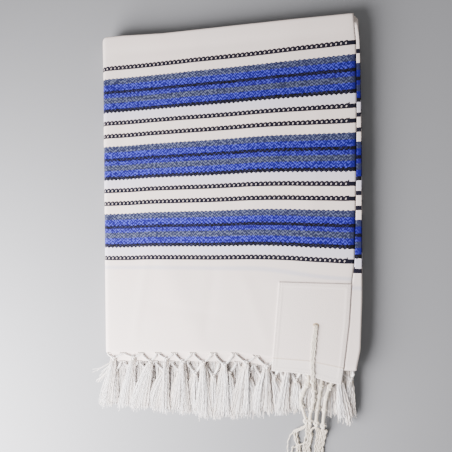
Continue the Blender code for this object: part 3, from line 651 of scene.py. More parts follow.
def spin(name, groups, material):
    """Yarns as thin tubes in one piece. A group holds paths, radii, shades and a count of sides."""
    points, faces, charted = [], [], []
    first = 0
    for paths, radii, shades, sides in groups:
        count, length = paths.shape[:2]
        run = np.gradient(paths, axis=1)
        run /= np.linalg.norm(run, axis=2, keepdims=True)
        side = np.cross(run[:, 0], (0.31, 0.12, 0.94))
        frames = []
        for step in range(length):
            along = run[:, step]
            side = side - along * np.sum(side * along, axis=1, keepdims=True)
            side /= np.linalg.norm(side, axis=1, keepdims=True)
            frames.append(side)
        level = np.stack(frames, axis=1)[:, :, None]
        upright = np.cross(run, level[:, :, 0])[:, :, None]
        turn = (2 * math.pi * np.arange(sides) / sides)[:, None]
        reach = np.broadcast_to(radii, (count, length))[:, :, None, None]
        rings = paths[:, :, None] + (level * np.cos(turn) + upright * np.sin(turn)) * reach
        points.append(rings.reshape(-1, 3))
        index = first + np.arange(count * length * sides).reshape(count, length, sides)
        near, far = index[:, :-1], index[:, 1:]
        walls = np.stack((near, np.roll(near, -1, 2), np.roll(far, -1, 2), far), -1)
        faces += [walls.reshape(-1, 4), index[:, 0, ::-1], index[:, -1]]
        first += count * length * sides
        shade = np.broadcast_to(np.asarray(shades)[:, None, None], (count, length, sides))
        share = np.broadcast_to(np.linspace(0.0, 1.0, length)[None, :, None], shade.shape)
        charted.append(np.stack((shade, share), -1).reshape(-1, 2))
    return build(name, np.concatenate(points), faces, np.concatenate(charted), material)


def sweep(start, lead, draw, tip, length):
    """Soft curves from starts to tips on the plan, one to each yarn."""
    t = np.linspace(0.0, 1.0, length)[None, :, None]
    s = 1.0 - t
    ends = [np.asarray(point)[:, None] for point in (start, lead, draw, tip)]
    return s ** 3 * ends[0] + 3 * s * s * t * ends[1] + 3 * s * t * t * ends[2] + t ** 3 * ends[3]


def crimp(flat, rng, size, wave):
    """Sideways waves along curves on the plan; they grow from nothing at the root."""
    step = np.linalg.norm(np.diff(flat, axis=1), axis=2)
    walked = np.concatenate([np.zeros((len(flat), 1)), np.cumsum(step, axis=1)], axis=1)
    run = np.gradient(flat, axis=1)
    run /= np.linalg.norm(run, axis=2, keepdims=True)
    phase = rng.uniform(0.0, 2 * math.pi, (len(flat), 1))
    length = rng.uniform(0.8, 1.3, (len(flat), 1)) * wave
    sway = size * rng.uniform(0.4, 1.2, (len(flat), 1))
    sway = sway * np.sin(2 * math.pi * walked / length + phase)
    sway = sway * np.minimum(1.0, walked / CRIMP_STARTS)
    return flat + np.stack((-run[..., 1], run[..., 0]), -1) * sway[..., None]


def lower_threads(rng):
    """Locks from all the hidden hems, one behind the other, falling to the table."""
    groups = []
    for lock in range(LOWER_LOCKS):
        across = (lock + 0.5) / LOWER_LOCKS
        x = LEFT_FOLD_X + (LOWER_RIGHT_X - LEFT_FOLD_X) * across
        lean = -LOWER_LEAN * max(0.0, 1 - 5 * across) + rng.normal(0.0, 2.0)
        shorter = LOWER_SHORTER * np.clip((across - 0.62) / 0.1, 0.0, 1.0)
        share = rng.uniform(-1.0, 1.0, LOWER_THREADS)
        start_x = x + LOWER_HALF_WIDTH * share
        start = np.stack((start_x, hem_y(start_x) - 1.0), 1)
        tip_y = LOWER_TIP_Y + shorter + rng.normal(1.0, LOWER_RAGGED, LOWER_THREADS)
        tip_x = x + lean + LOWER_TIP_HALF_WIDTH * share + rng.normal(0.0, 1.2, LOWER_THREADS)
        tip = np.stack((tip_x, tip_y), 1)
        flat = sweep(start, start + LOWER_LEAD, tip + LOWER_DRAW, tip, 12)
        flat = crimp(flat, rng, *LOWER_CRIMP)
        deeper = LOWER_DEPTH * rng.random((LOWER_THREADS, 1)) ** 2.5
        z = read(LOWER_FALL, hem_y(flat[..., 0]) - flat[..., 1]) - deeper
        z = np.maximum(z, 0.5 + 0.06 * deeper)
        paths = np.concatenate([flat, z[..., None]], -1)
        groups.append((paths, THREAD_RADIUS, rng.uniform(0.0, 1.0, LOWER_THREADS), 3))
    for count, start, tip in LOWER_STRAYS:
        t = np.linspace(0.0, 1.0, 12)[None, :, None]
        ends = np.array(tip) + rng.normal(0.0, 2.2, (count, 1, 3)) * (1.0, 1.0, 0.4)
        paths = np.array(start) + (ends - start) * t
        paths += rng.normal(0.0, 0.9, (count, 1, 3)) * np.sin(math.pi * t)
        groups.append((paths, THREAD_RADIUS, rng.uniform(0.0, 1.0, count), 3))
    return groups


# the deep tone is painted shade at the roots and on the lower locks, and random tone elsewhere
fringe_yarn = dye_yarn("fringe_wool", (251, 250, 252), (238, 219, 200), 0.12)
lower_fringe = spin("lower_fringe_threads", lower_threads(np.random.default_rng(3)), fringe_yarn)
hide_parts("lower_fringe")


# ------------------------------------------------------------------ the second layer
# The quarter next below the top one. Its selvedge shows as a narrow strip at the right, with its
# own bars and bands a little lower, and its hem stands out below the top layer's hem.
SECOND_LOW = 16.8
SECOND_RISE = 0.6
SECOND_SETBACK = 9.0
SECOND_DROP = 12.0
SECOND_SLOPE = 0.16
SECOND_SHIFT = 10.7
SECOND_SELVEDGE = (  # y, x
    (-128.0, 163.0), (-103.0, 168.0), (-44.0, 169.8), (130.0, 169.7),
    (243.0, 168.4), (262.0, 167.6), (281.0, 164.8),
)
SECOND_HEM_DROP = (  # x, how far the second layer hangs below the hem
    (60.0, SECOND_DROP), (110.0, 8.0), (146.0, 3.0), (163.0, 2.0),
)
SELVEDGE = (  # y, x: the top layer's selvedge; the second layer puffs up beside it
    (-126.0, 149.5), (-96.0, 153.0), (-72.0, 155.8), (-23.0, 158.9),
    (0.0, 161.6), (60.0, 163.2), (175.0, 164.6), (257.0, 164.3), (290.0, 161.4),
)
STRIP_COLUMNS = 7
STRIP_GAP = 0.15
STRIP_RAMP = 0.6
STRIP_LIFT = 1.25
COVERED_COLUMNS = 59
SECOND_ROWS = 90
SECOND_INSET = 0.3
SWELLS = (  # middle x, y; half width along x, y; turn in degrees; height
    (-156.0, 90.0, 26.0, 400.0, 0.0, 1.3),
    (0.0, 296.0, 400.0, 22.0, 0.0, 0.8),
    (-60.0, -40.0, 20.0, 120.0, 24.0, 0.9),
    (70.0, 190.0, 26.0, 150.0, -14.0, 0.8),
    (105.0, -85.0, 60.0, 60.0, 0.0, 1.0),
)


def ease(t):
    t = np.clip(t, 0.0, 1.0)
    return t * t * (3 - 2 * t)


def swell(x, y):
    """Height that the soft swells give the upper layers."""
    rise = 0.0
    for mid_x, mid_y, half_x, half_y, turn, height in SWELLS:
        c, s = math.cos(math.radians(turn)), math.sin(math.radians(turn))
        u = (x - mid_x) * c + (y - mid_y) * s
        v = (y - mid_y) * c - (x - mid_x) * s
        rise = rise + height * np.exp(-(u / half_x) ** 2 - (v / half_y) ** 2)
    return rise


def second_hem_y(x):
    return hem_y(x) - read(SECOND_HEM_DROP, x)


def second_low_z(x, y):
    """Underside of the second layer, which slopes down past the top layer's hem."""
    return SECOND_LOW + swell(x, y) - SECOND_SLOPE * np.maximum(0.0, hem_y(x) - y)


def lay_second():
    """Columns follow the top layer's selvedge, so that the bare strip rises right beside it."""
    bare = np.append(np.linspace(1.0, 0.0, STRIP_COLUMNS), np.zeros(COVERED_COLUMNS))[:, None]
    covered = np.append(np.zeros(STRIP_COLUMNS), np.linspace(0.0, 1.0, COVERED_COLUMNS))[:, None]
    raised = (np.arange(len(bare)) < STRIP_COLUMNS)[:, None]
    left = LEFT_FOLD_X + SECOND_INSET

    def columns(y):
        foot = read(SELVEDGE, y) + STRIP_GAP + STRIP_RAMP * raised
        return foot + (read(SECOND_SELVEDGE, y) - foot) * bare + (left - foot) * covered

    low = second_hem_y(columns(SECOND_SELVEDGE[0][0]))
    high = top_y(columns(SECOND_SELVEDGE[-1][0])) - SECOND_SETBACK
    y = low + (high - low) * np.linspace(0.0, 1.0, SECOND_ROWS)[None]
    x = columns(y)
    z = second_low_z(x, y) + SECOND_RISE + STRIP_LIFT * raised
    chart = np.stack((read(SECOND_SELVEDGE, y) - x, y + SECOND_SHIFT), -1)
    return cloth_wall("second_layer_cloth", np.stack((x, y, z), -1), chart, wool)


second_cloth = lay_second()
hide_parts("second_layer")


# ------------------------------------------------------------------ the second layer's fringe
# The warp ends are gathered into bundles along the hem, each bundle is parted, and halves of two
# neighbours are tied in one knot, which leaves a row of open diamonds; below it the threads hang.
SECOND_KNOTS = (  # x, y, and the tips of its locks: x, y
    (-152, -156, ((-162, -209), (-154, -207))),
    (-127, -151.5, ((-133, -204), (-125, -207))),
    (-104, -151, ((-116, -205), (-107, -204))),
    (-80.3, -151.3, ((-103, -205), (-96, -207), (-88, -209))),
    (-58, -150, ((-73, -203), (-65, -203))),
    (-36.9, -150.3, ((-53, -206), (-45, -204), (-37, -204))),
    (-12.4, -152.1, ((-29, -209), (-21, -208), (-13, -206))),
    (8.9, -146.4, ((-8, -208), (0, -202), (8, -205))),
    (32.3, -146.9, ((23, -203), (31, -201), (38, -197))),
    (51, -147, ((44, -196), (50, -191))),
    (67, -146, ((72, -194), (87, -190))),
    (80, -148, ((67, -193), (78, -190))),
    (93, -148, ((88, -189), (95, -185))),
    (109, -147, ((102, -184), (110, -182))),
    (128, -147, ((121, -180), (131, -189))),
    (157.4, -141, ((152, -189), (156.5, -191))),
)
SECOND_ENDS = (-158.0, 162.0)
SECOND_STEP_RUN = 13.0
SECOND_STEP_HEIGHT = 11.4
SECOND_FALL_RUN = 55.0
SECOND_FALL_HEIGHT = 5.4
PEAK_INSET = 2.0
LEG_GATHERED = 0.42
LEG_YARNS = 17
LEG_RADIUS = 0.5
LEG_SPREAD = 5.0
LEG_TWIST = 5.0
LEG_BOW = 0.8
LEG_HALF_WIDTH = 1.9
FEET_APART = 1.2
KNOT_YARNS = 8
KNOT_YARN_RADIUS = 0.62
KNOT_RADIUS = 2.9
KNOT_LIFT = 1.9
WISPS = 4
WISPS_APART = 0.5
WISP_SPREAD = 0.23
WISP_BEND = 0.9
LOCKS_APART = 1.6
LOCK_BEND = 2.2
LOCK_LEAD = 9.0
LOCK_DRAW = 17.0
LOCK_CRIMP = (0.6, 10.0)
RAGGED = 2.0
SHORT_SHARE = 0.12
SHORTER = 7.0
SECOND_LOCK_THREADS = 36
SECOND_LOCK_STEPS = 16
SECOND_LOCK_WIDTHS = (1.8, 4.2, 4.0, 4.6)


def second_fringe_low(x, y):
    """Underside of the second layer's fringe: steep off the cloth, then easy to the table."""
    below = second_hem_y(x) - y
    edge = second_low_z(x, second_hem_y(x))
    step = edge + (SECOND_STEP_HEIGHT - edge) * ease(below / SECOND_STEP_RUN)
    t = np.clip((below - SECOND_STEP_RUN) / SECOND_FALL_RUN, 0.0, 1.0)
    return step + (SECOND_FALL_HEIGHT - SECOND_STEP_HEIGHT) * t


def legs(rng, knots, ends, edge_y, low_z, press):
    """Twisted bundles from the hem to the knots; each starts spread along the hem."""
    peaks = [ends[0] + PEAK_INSET]
    peaks += [(a[0] + b[0]) / 2 for a, b in zip(knots, knots[1:])]
    peaks += [ends[1] - PEAK_INSET]
    t = np.linspace(0.0, 1.0, 12)[None]
    gather = ease(t / LEG_GATHERED)
    groups = []
    for number, (knot_x, knot_y, _) in enumerate(knots):
        for peak, hand in ((peaks[number], -1.0), (peaks[number + 1], 1.0)):
            root_x = peak - hand * np.sort(rng.uniform(-0.5, LEG_SPREAD, LEG_YARNS))[:, None]
            foot_x = knot_x + FEET_APART * hand
            middle_x = peak + (foot_x - peak) * t + LEG_BOW * np.sin(math.pi * t) * hand
            middle_y = edge_y(peak) - 0.2 + (knot_y - edge_y(peak) + 0.8) * t
            turn = 2 * math.pi * np.arange(LEG_YARNS)[:, None] / LEG_YARNS + LEG_TWIST * t * hand
            width = LEG_HALF_WIDTH * gather * (1 - 0.4 * t)
            x = root_x + (middle_x - root_x) * gather + width * np.cos(turn)
            straight = edge_y(root_x) + 0.6 - 5.0 * t
            y = straight + (middle_y - straight) * gather
            lift = press(x) * (1.2 + 0.6 * np.sin(turn) * gather)
            z = low_z(x, np.minimum(y, edge_y(x) - 0.1)) + lift
            shade = rng.uniform(0.0, 0.7, LEG_YARNS)
            groups.append((np.stack((x, y, z), -1), LEG_RADIUS, shade, 3))
    return groups


def knot(rng, x, y, z, size, yarns, radius, press=1.0):
    """A soft overhand knot: a few yarns side by side on one crossing loop."""
    turn = np.linspace(0.0, 4 * math.pi, 26)[None]
    apart = np.linspace(-1.0, 1.0, yarns)[:, None]
    reach = size * (0.62 + 0.30 * np.cos(1.5 * turn + 0.4))
    reach = reach + 0.25 * rng.normal(0.0, 1.0, (yarns, 1))
    path_x = x + reach * np.cos(turn) + 0.5 * apart * np.sin(turn)
    path_y = y + reach * 0.92 * np.sin(turn) + 0.75 * apart
    path_z = z + press * (0.42 * size * np.sin(1.5 * turn) + 0.25 * apart)
    return np.stack((path_x, path_y, path_z), -1), radius, rng.uniform(0.0, 0.6, yarns), 3


def hang_locks(rng, x, y, tips, low_z, threads, length, widths):
    """Loose threads below one knot, in flat locks that are brushed out and ragged at their tips."""
    count = len(tips) * threads
    lock = np.repeat(np.arange(len(tips)), threads)
    tip_x, tip_y = np.array(tips)[lock].T
    wisp = rng.integers(0, WISPS, count)
    across = (wisp - (WISPS - 1) / 2) * WISPS_APART
    across = across + rng.uniform(-WISP_SPREAD, WISP_SPREAD, count)
    bend = rng.normal(0.0, LOCK_BEND, (2, len(tips)))[:, lock]
    bend = bend + rng.normal(0.0, WISP_BEND, (2, len(tips), WISPS))[:, lock, wisp]
    root_x = x + LOCKS_APART * (lock - (len(tips) - 1) / 2)
    lead_x = root_x + 0.12 * (tip_x - x) + 0.5 * bend[0]
    draw_x = tip_x - 0.10 * (tip_x - x) + bend[1]
    end_x = tip_x + 0.4 * bend[1] + rng.normal(0.0, 1.2, count)
    cut = rng.normal(0.0, RAGGED, count) + np.where(rng.random(count) < SHORT_SHARE, SHORTER, 0.0)
    end_y = tip_y + 1.0 + cut + rng.normal(0.0, RAGGED, (len(tips), WISPS))[lock, wisp]
    places = ((root_x, y - 1.0), (lead_x, y - LOCK_LEAD), (draw_x, end_y + LOCK_DRAW),
              (end_x, end_y))
    places = [np.stack(np.broadcast_arrays(px + width * across, py), 1)
              for (px, py), width in zip(places, widths)]
    flat = crimp(sweep(*places, length), rng, *LOCK_CRIMP)
    t = np.linspace(0.0, 1.0, length)[None]
    thick = rng.uniform(0.2, 1.8, (count, 1)) * (1 - 0.45 * across ** 2)[:, None]
    level = rng.permutation(np.linspace(0.0, 1.5, len(tips)))[lock][:, None] + thick
    z = low_z(flat[..., 0], flat[..., 1]) + level * (1.0 - 0.4 * t)
    z += 0.2 * np.sin(9.0 * t + rng.uniform(0.0, 6.0, (count, 1)))
    # painted shade: locks lower in the stack take more of the yarn's deep tone, as in the shade of
    # the locks above; the rest is at random
    shade = np.clip(1.0 - level[:, 0] / 3.0 + rng.normal(0.0, 0.2, count), 0.0, 1.0)
    return np.concatenate([flat, z[..., None]], -1), THREAD_RADIUS, shade, 3


def unpressed(x):
    """Nothing lies on these knots and bundles."""
    return 1.0


def knotted_fringe(rng, knots, ends, edge_y, low_z, threads, length, widths, press=unpressed):
    groups = legs(rng, knots, ends, edge_y, low_z, press)
    for x, y, tips in knots:
        level = low_z(x, y) + KNOT_LIFT * press(x)
        groups.append(knot(rng, x, y, level, KNOT_RADIUS, KNOT_YARNS, KNOT_YARN_RADIUS, press(x)))
        groups.append(hang_locks(rng, x, y, tips, low_z, threads, length, widths))
    return groups


second_groups = knotted_fringe(np.random.default_rng(5), SECOND_KNOTS, SECOND_ENDS, second_hem_y,
                               second_fringe_low, SECOND_LOCK_THREADS, SECOND_LOCK_STEPS,
                               SECOND_LOCK_WIDTHS)
second_fringe = spin("second_fringe_threads", second_groups, fringe_yarn)
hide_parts("second_fringe")


# ------------------------------------------------------------------ the top layer
# The quarter that shows whole, with its selvedge at the right. It turns over the left fold to the
# underside and rolls over the top fold. Soft swells and shallow creases run through it.
CREASES = (  # x, y at both ends; half width; height of a ridge, or less than nothing in a trough
    (-120.0, -110.0, -95.0, 30.0, 7.0, 0.5), (-20.0, -100.0, -8.0, -10.0, 8.0, -0.4),
    (30.0, -20.0, 60.0, -105.0, 9.0, 0.35), (-140.0, 20.0, -132.0, 240.0, 9.0, -0.45),
    (-60.0, 120.0, -30.0, 280.0, 12.0, 0.4), (20.0, 60.0, 10.0, 250.0, 14.0, -0.35),
    (110.0, 20.0, 125.0, 230.0, 10.0, 0.35), (-150.0, 275.0, 150.0, 268.0, 7.0, -0.3),
    (-100.0, -60.0, 10.0, -75.0, 8.0, -0.3), (60.0, -30.0, 150.0, -22.0, 6.0, 0.25),
)
TOP_ROWS = 172
TOP_COLUMNS = 140
NOSE_STEPS = 16
BOW_ACROSS = (  # x, share of the bow
    (-152.0, -0.1), (-124.0, 0.05), (-96.0, 0.42), (-40.0, 0.58), (-13.0, 0.62), (13.0, 0.80),
    (38.0, 1.0), (63.0, 1.0), (87.0, 0.86), (111.0, 0.52), (134.0, 0.3), (150.0, 0.1),
)
BOW_DOWN = (  # y, millimetres
    (-24.0, 0.0), (-4.0, 3.7), (38.0, 3.8), (129.0, 2.6), (168.0, 1.7), (184.0, 0.8),
    (220.0, 0.1), (260.0, -0.9), (290.0, -0.9),
)


def crease(x, y):
    """Height of the shallow creases, which fade at their ends."""
    rise = 0.0
    for x0, y0, x1, y1, half, height in CREASES:
        length = math.hypot(x1 - x0, y1 - y0)
        c, s = (x1 - x0) / length, (y1 - y0) / length
        t = ((x - x0) * c + (y - y0) * s) / length
        off = (y - y0) * c - (x - x0) * s
        ends = ease(t / 0.3 + 0.5) * ease((1 - t) / 0.3 + 0.5)
        rise = rise + height * np.exp(-(off / half) ** 2) * ends
    return rise


def top_z(x, y):
    """The top layer's upper face; its selvedge and hem settle on the layer below."""
    settle = np.exp(-((read(SELVEDGE, y) - x) / 3.0) ** 2) + np.exp(-((y - hem_y(x)) / 3.5) ** 2)
    return STACK + swell(x, y) + crease(x, y) - 0.35 * np.minimum(1.0, settle)


def top_stations():
    """From the selvedge over the left fold to the table."""
    stations = []
    for share in np.linspace(0.0, 1.0, TOP_COLUMNS):
        def level(y, share=share):
            edge = read(SELVEDGE, y)
            x = edge + (LEFT_FOLD_X - edge) * share
            return spots(x, y, top_z(x, y) - CLOTH / 2, 0.0, 1.0)

        ends = [edge[1] + (LEFT_FOLD_X - edge[1]) * share for edge in (SELVEDGE[0], SELVEDGE[-1])]
        stations.append((*ends, level))
    for step in range(1, NOSE_STEPS + 1):
        angle = math.pi / 2 + math.pi * step / NOSE_STEPS

        def turned(y, c=math.cos(angle), s=math.sin(angle)):
            half = top_z(LEFT_FOLD_X, y) / 2
            x = LEFT_FOLD_X + (LEFT_FOLD_DEPTH - CLOTH / 2) * c
            out_x, out_z = c * half, s * LEFT_FOLD_DEPTH
            slope = np.hypot(out_x, out_z)
            return spots(x, y, half + (half - CLOTH / 2) * s, out_x / slope, out_z / slope)

        fold_x = LEFT_FOLD_X + LEFT_FOLD_DEPTH * math.cos(angle)
        stations.append((fold_x, fold_x, turned))
    tail_x = LEFT_FOLD_X + LEFT_FOLD_TAIL
    stations.append((tail_x, tail_x, lambda y: spots(tail_x, y, CLOTH / 2, 0.0, -1.0)))
    return stations


def bow(x, y):
    """How far the bands lie pulled up out of a straight line, as a slip of the weave."""
    return -read(BOW_ACROSS, x) * read(BOW_DOWN, y)


top_cloth = rolled_cloth("top_layer_cloth", top_stations(), TOP_ROWS, bow, wool)
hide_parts("top_layer")


# ------------------------------------------------------------------ the top layer's fringe
# The same knotted fringe on the top layer's hem. It lies on the second layer's edge and falls over
# the fringe below; only one knot of it shows past the corner patch.
FRONT_KNOTS = (  # x, y, and the tips of its locks: x, y
    (-151, -137, ((-176, -210), (-169, -209), (-163, -207))),
    (-122, -134, ((-146, -208), (-139, -206), (-131, -203))),
    (-98, -138, ((-127, -207), (-119, -207), (-111, -206))),
    (-75, -132.5, ((-83, -209), (-76, -205))),
    (-52, -135, ((-67, -204), (-58, -209), (-50, -207))),
    (-24, -133.5, ((-35, -205), (-27, -210), (-19, -208))),
    (4, -134.5, ((-12, -208), (-4, -207), (4, -202))),
    (32, -129, ((12, -206), (19, -203), (27, -199))),
    (58, -131.5, ((46, -196), (54, -190), (62, -195))),
    (84, -132.5, ((73, -194), (81, -190))),
)
FRONT_ENDS = (-162.0, 96.0)
CORNER_KNOTS = ((144.6, -136.5, ((143, -184), (149, -191), (156, -199))),)
CORNER_ENDS = (135.6, 149.8)
FRONT_FALL_RUN = 68.0
FRONT_FALL_HEIGHT = 7.2
FRONT_FALL_CURVE = 1.35
FRONT_LOCK_STEPS = 20


def front_fringe_low(x, y):
    """Underside of the top layer's fringe: it lies on the second layer, then falls."""
    below = hem_y(x) - y
    held = np.maximum(y, hem_y(x) - SECOND_DROP)
    on_cloth = second_low_z(x, held) + CLOTH + 0.3
    t = np.clip((below - SECOND_DROP) / FRONT_FALL_RUN, 0.0, 1.0)
    return on_cloth + (FRONT_FALL_HEIGHT - on_cloth) * (1 - (1 - t) ** FRONT_FALL_CURVE)


def under_patch(x):
    """The corner patch presses flat the knots and bundles that it covers."""
    return 1.0 - 0.55 * ease((x - 60.0) / 6.0)


FRONT_FRINGES = (  # name; seed; knots; ends; threads in a lock; the locks' widths, root to tip
    ("front_fringe", 11, FRONT_KNOTS, FRONT_ENDS, 38, (1.5, 3.2, 3.1, 4.4)),
    ("corner_fringe", 13, CORNER_KNOTS, CORNER_ENDS, 34, (1.5, 3.2, 3.1, 4.0)),
)
for name, seed, knots, ends, threads, widths in FRONT_FRINGES:
    groups = knotted_fringe(np.random.default_rng(seed), knots, ends, hem_y, front_fringe_low,
                            threads, FRONT_LOCK_STEPS, widths, under_patch)
    fringe = spin(name + "_threads", groups, fringe_yarn)
    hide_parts(name)


# ------------------------------------------------------------------ the corner patch
# A doubled square of plain wool with its edges turned in, sewn to the corner with small stitches.
# It reaches past the hem, which shows as a step with painted shadow along it. An eyelet worked in
# thread, painted tan as shade, goes through it.
PATCH_TOP = -26.0
PATCH_LEFT_TOP = 73.6
PATCH_LEFT_LOW = 64.2
PATCH_RIGHT_LOW = (-146.0, 146.6)
PATCH_LOWER_EDGE = (  # x, y
    (64.0, -136.0), (85.0, -135.8), (108.0, -136.6), (118.0, -140.2), (134.0, -144.2),
    (146.0, -145.4),
)
PATCH_WIDTH = 80.0
PATCH_DEPTH = 110.0
PATCH_COLUMNS = 72
PATCH_ROWS = 84
PATCH_RISE = 1.0
PATCH_STEP = 0.4
EDGE_DROP = 0.35
EDGE_RADIUS = 0.6
TURNED_IN = 5.4
TURNED_STEP = 0.22
SEAM_INSET = 2.2
SEAM_SINKS = 0.15
SEAM_THREAD = 0.24
HEM_LINE_Y = -119.8
HEM_LINE_BEND = 108.0
HEM_LINE_SLOPE = 0.14
# painted shadow: the tan of the line along the hem under the patch; past the hem the patch is
# painted paler
HEM_SHADOW_TONE = (196, 178, 160)
PAST_HEM_TONE = (248, 244, 240)
STITCH_PITCH = 3.1
STITCH_LENGTH = 1.7
STITCH_ARC = (-0.1, 0.62, 0.72, 0.62, -0.1)
EYELET = (117.5, -76.4)
EYELET_HALF = (2.9, 2.3)
CUTTER_LENGTH = 9.0
RIM_TURNS = 44
RIM_HALF_WIDTH = 0.62
RIM_THREAD = 0.26


def patch_z(x, y):
    """The patch's upper face: on the top layer, a step lower past its hem."""
    past_hem = ease((hem_y(x) - y) / 2.6 + 0.5)
    held = np.maximum(y, hem_y(x) + 3.0)
    return top_z(x, held) + PATCH_RISE + EDGE_DROP - PATCH_STEP * past_hem


def near_edges(steps):
    """Shares from 0 to 1, closer together at both ends."""
    even = np.linspace(0.0, 1.0, steps)
    return even - 0.8 * np.sin(2 * math.pi * even) / (2 * math.pi)


def patch_point(share, row):
    """The middle of the patch's thickness, and that thickness; share runs from right to left."""
    low_x = PATCH_RIGHT_LOW[1] + (PATCH_LEFT_LOW - PATCH_RIGHT_LOW[1]) * share
    low = read(PATCH_LOWER_EDGE, low_x)
    y = low + (PATCH_TOP - low) * row
    left = PATCH_LEFT_TOP + (PATCH_LEFT_LOW - PATCH_LEFT_TOP) * (1 - row)
    right = read((PATCH_RIGHT_LOW, *SELVEDGE), y) - 0.6
    x = right + (left - right) * share
    inside = np.minimum(np.minimum(share, 1 - share) * PATCH_WIDTH,
                        np.minimum(row, 1 - row) * PATCH_DEPTH)
    edge = np.exp(-(inside / EDGE_RADIUS) ** 2)
    rounded = EDGE_DROP * edge + TURNED_STEP * ease((inside - TURNED_IN) / 1.8 + 0.5)
    pulled_in = SEAM_SINKS * np.exp(-((inside - SEAM_INSET) / 0.8) ** 2)
    z = patch_z(x, y) - PATCH_RISE / 2 - rounded - pulled_in
    return np.stack((x, y, z), -1), PATCH_RISE * (1.0 - 0.2 * edge)


def lay_patch():
    middle, thickness = patch_point(near_edges(PATCH_COLUMNS)[:, None],
                                    near_edges(PATCH_ROWS)[None])
    return cloth_wall("corner_patch_cloth", middle, middle[..., :2], patch_wool,
                      thickness)


def sew_patch():
    """Small stitches along the seam, just inside the patch's edges."""
    share_in, row_in = SEAM_INSET / PATCH_WIDTH, SEAM_INSET / PATCH_DEPTH
    stitches = []
    corners = ((share_in, row_in), (1 - share_in, row_in), (1 - share_in, 1 - row_in),
               (share_in, 1 - row_in), (share_in, row_in))
    for start, end in zip(corners, corners[1:]):
        a, b = (patch_point(np.array([[c[0]]]), np.array([[c[1]]]))[0][0, 0] for c in (start, end))
        count = int(np.linalg.norm(b - a) / STITCH_PITCH)
        half = STITCH_LENGTH / STITCH_PITCH / 2 / count
        for number in range(count):
            along = (number + 0.5) / count + half * np.linspace(-1.0, 1.0, 5)
            share, row = (start[k] + (end[k] - start[k]) * along for k in (0, 1))
            path, _ = patch_point(share, row)
            path[:, 2] += STITCH_ARC
            stitches.append(path)
    return [(np.array(stitches), SEAM_THREAD, np.full(len(stitches), 0.5), 4)]


def work_eyelet():
    """Thread wound round the eyelet's edge; its tan colour is painted shade in the eyelet."""
    round_it = np.linspace(0.0, 2 * math.pi, 460)
    turn = RIM_TURNS * round_it
    reach = RIM_HALF_WIDTH * np.cos(turn)
    x = EYELET[0] + (EYELET_HALF[0] - 0.1 + reach) * np.cos(round_it)
    y = EYELET[1] + (EYELET_HALF[1] - 0.1 + reach) * np.sin(round_it)
    z = patch_z(x, y) - PATCH_RISE / 2 - 0.15 + 0.7 * np.sin(turn)
    return [(np.stack((x, y, z), -1)[None], RIM_THREAD, [0.5], 4)]


def patch_material():
    """Plain wool; where the patch goes past the hem below it, a tan line of painted shadow marks
    the hem, and past it the patch is painted paler.
    """
    material, tree = start_material("patch_wool")
    x, y = (reading * 1000.0 for reading in read_chart(tree))
    slope = (x - HEM_LINE_BEND).math("MAXIMUM", 0.0) * HEM_LINE_SLOPE
    above = y - HEM_LINE_Y + slope
    # painted shadow: a tan line along the hem's step under the patch
    line = abs(above).fall(0.3, 1.5) * 0.65
    colour = line.blend(plain_ground(tree), tone(*HEM_SHADOW_TONE))
    colour = (above.fall(-1.5, 0.0) * 0.4).blend(colour, tone(*PAST_HEM_TONE))
    wool_surface(tree, colour, speckle(tree, 1.1, 3.0) * 0.5)
    return material


def cut_eyelet(piece):
    """Cut the oval eyelet straight down through a piece."""
    bm = bmesh.new()
    bmesh.ops.create_cone(bm, cap_ends=True, segments=24, radius1=1.0, radius2=1.0,
                          depth=CUTTER_LENGTH)
    bmesh.ops.scale(bm, vec=(*(half * MM for half in EYELET_HALF), MM), verts=bm.verts)
    bmesh.ops.translate(bm, vec=place(*EYELET, STACK + 1.0), verts=bm.verts)
    mesh = bpy.data.meshes.new("eyelet_cutter")
    bm.to_mesh(mesh)
    bm.free()
    cutter = put_in_scene("eyelet_cutter", mesh)
    cut = piece.modifiers.new("eyelet", "BOOLEAN")
    cut.object = cutter
    cut.operation = "DIFFERENCE"
    cut.solver = "EXACT"
    graph = bpy.context.evaluated_depsgraph_get()
    done = bpy.data.meshes.new_from_object(piece.evaluated_get(graph), depsgraph=graph)
    piece.modifiers.clear()
    piece.data = done
    bpy.data.objects.remove(cutter)


patch_wool = patch_material()
patch_cloth = lay_patch()
cut_eyelet(patch_cloth)
cut_eyelet(top_cloth)
seam_thread = dye_yarn("seam_thread", (240, 236, 230), (226, 218, 208), 0.0)
seam = spin("corner_patch_seam", sew_patch(), seam_thread)
# painted shade: the eyelet's thread is coloured tan like the shade in the hole
eyelet_shade_thread = dye_yarn("eyelet_thread", (206, 184, 152), (188, 162, 128), 0.0)
worked_rim = spin("eyelet_rim", work_eyelet(), eyelet_shade_thread)
for piece in (patch_cloth, seam, worked_rim):
    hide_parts("corner_patch")


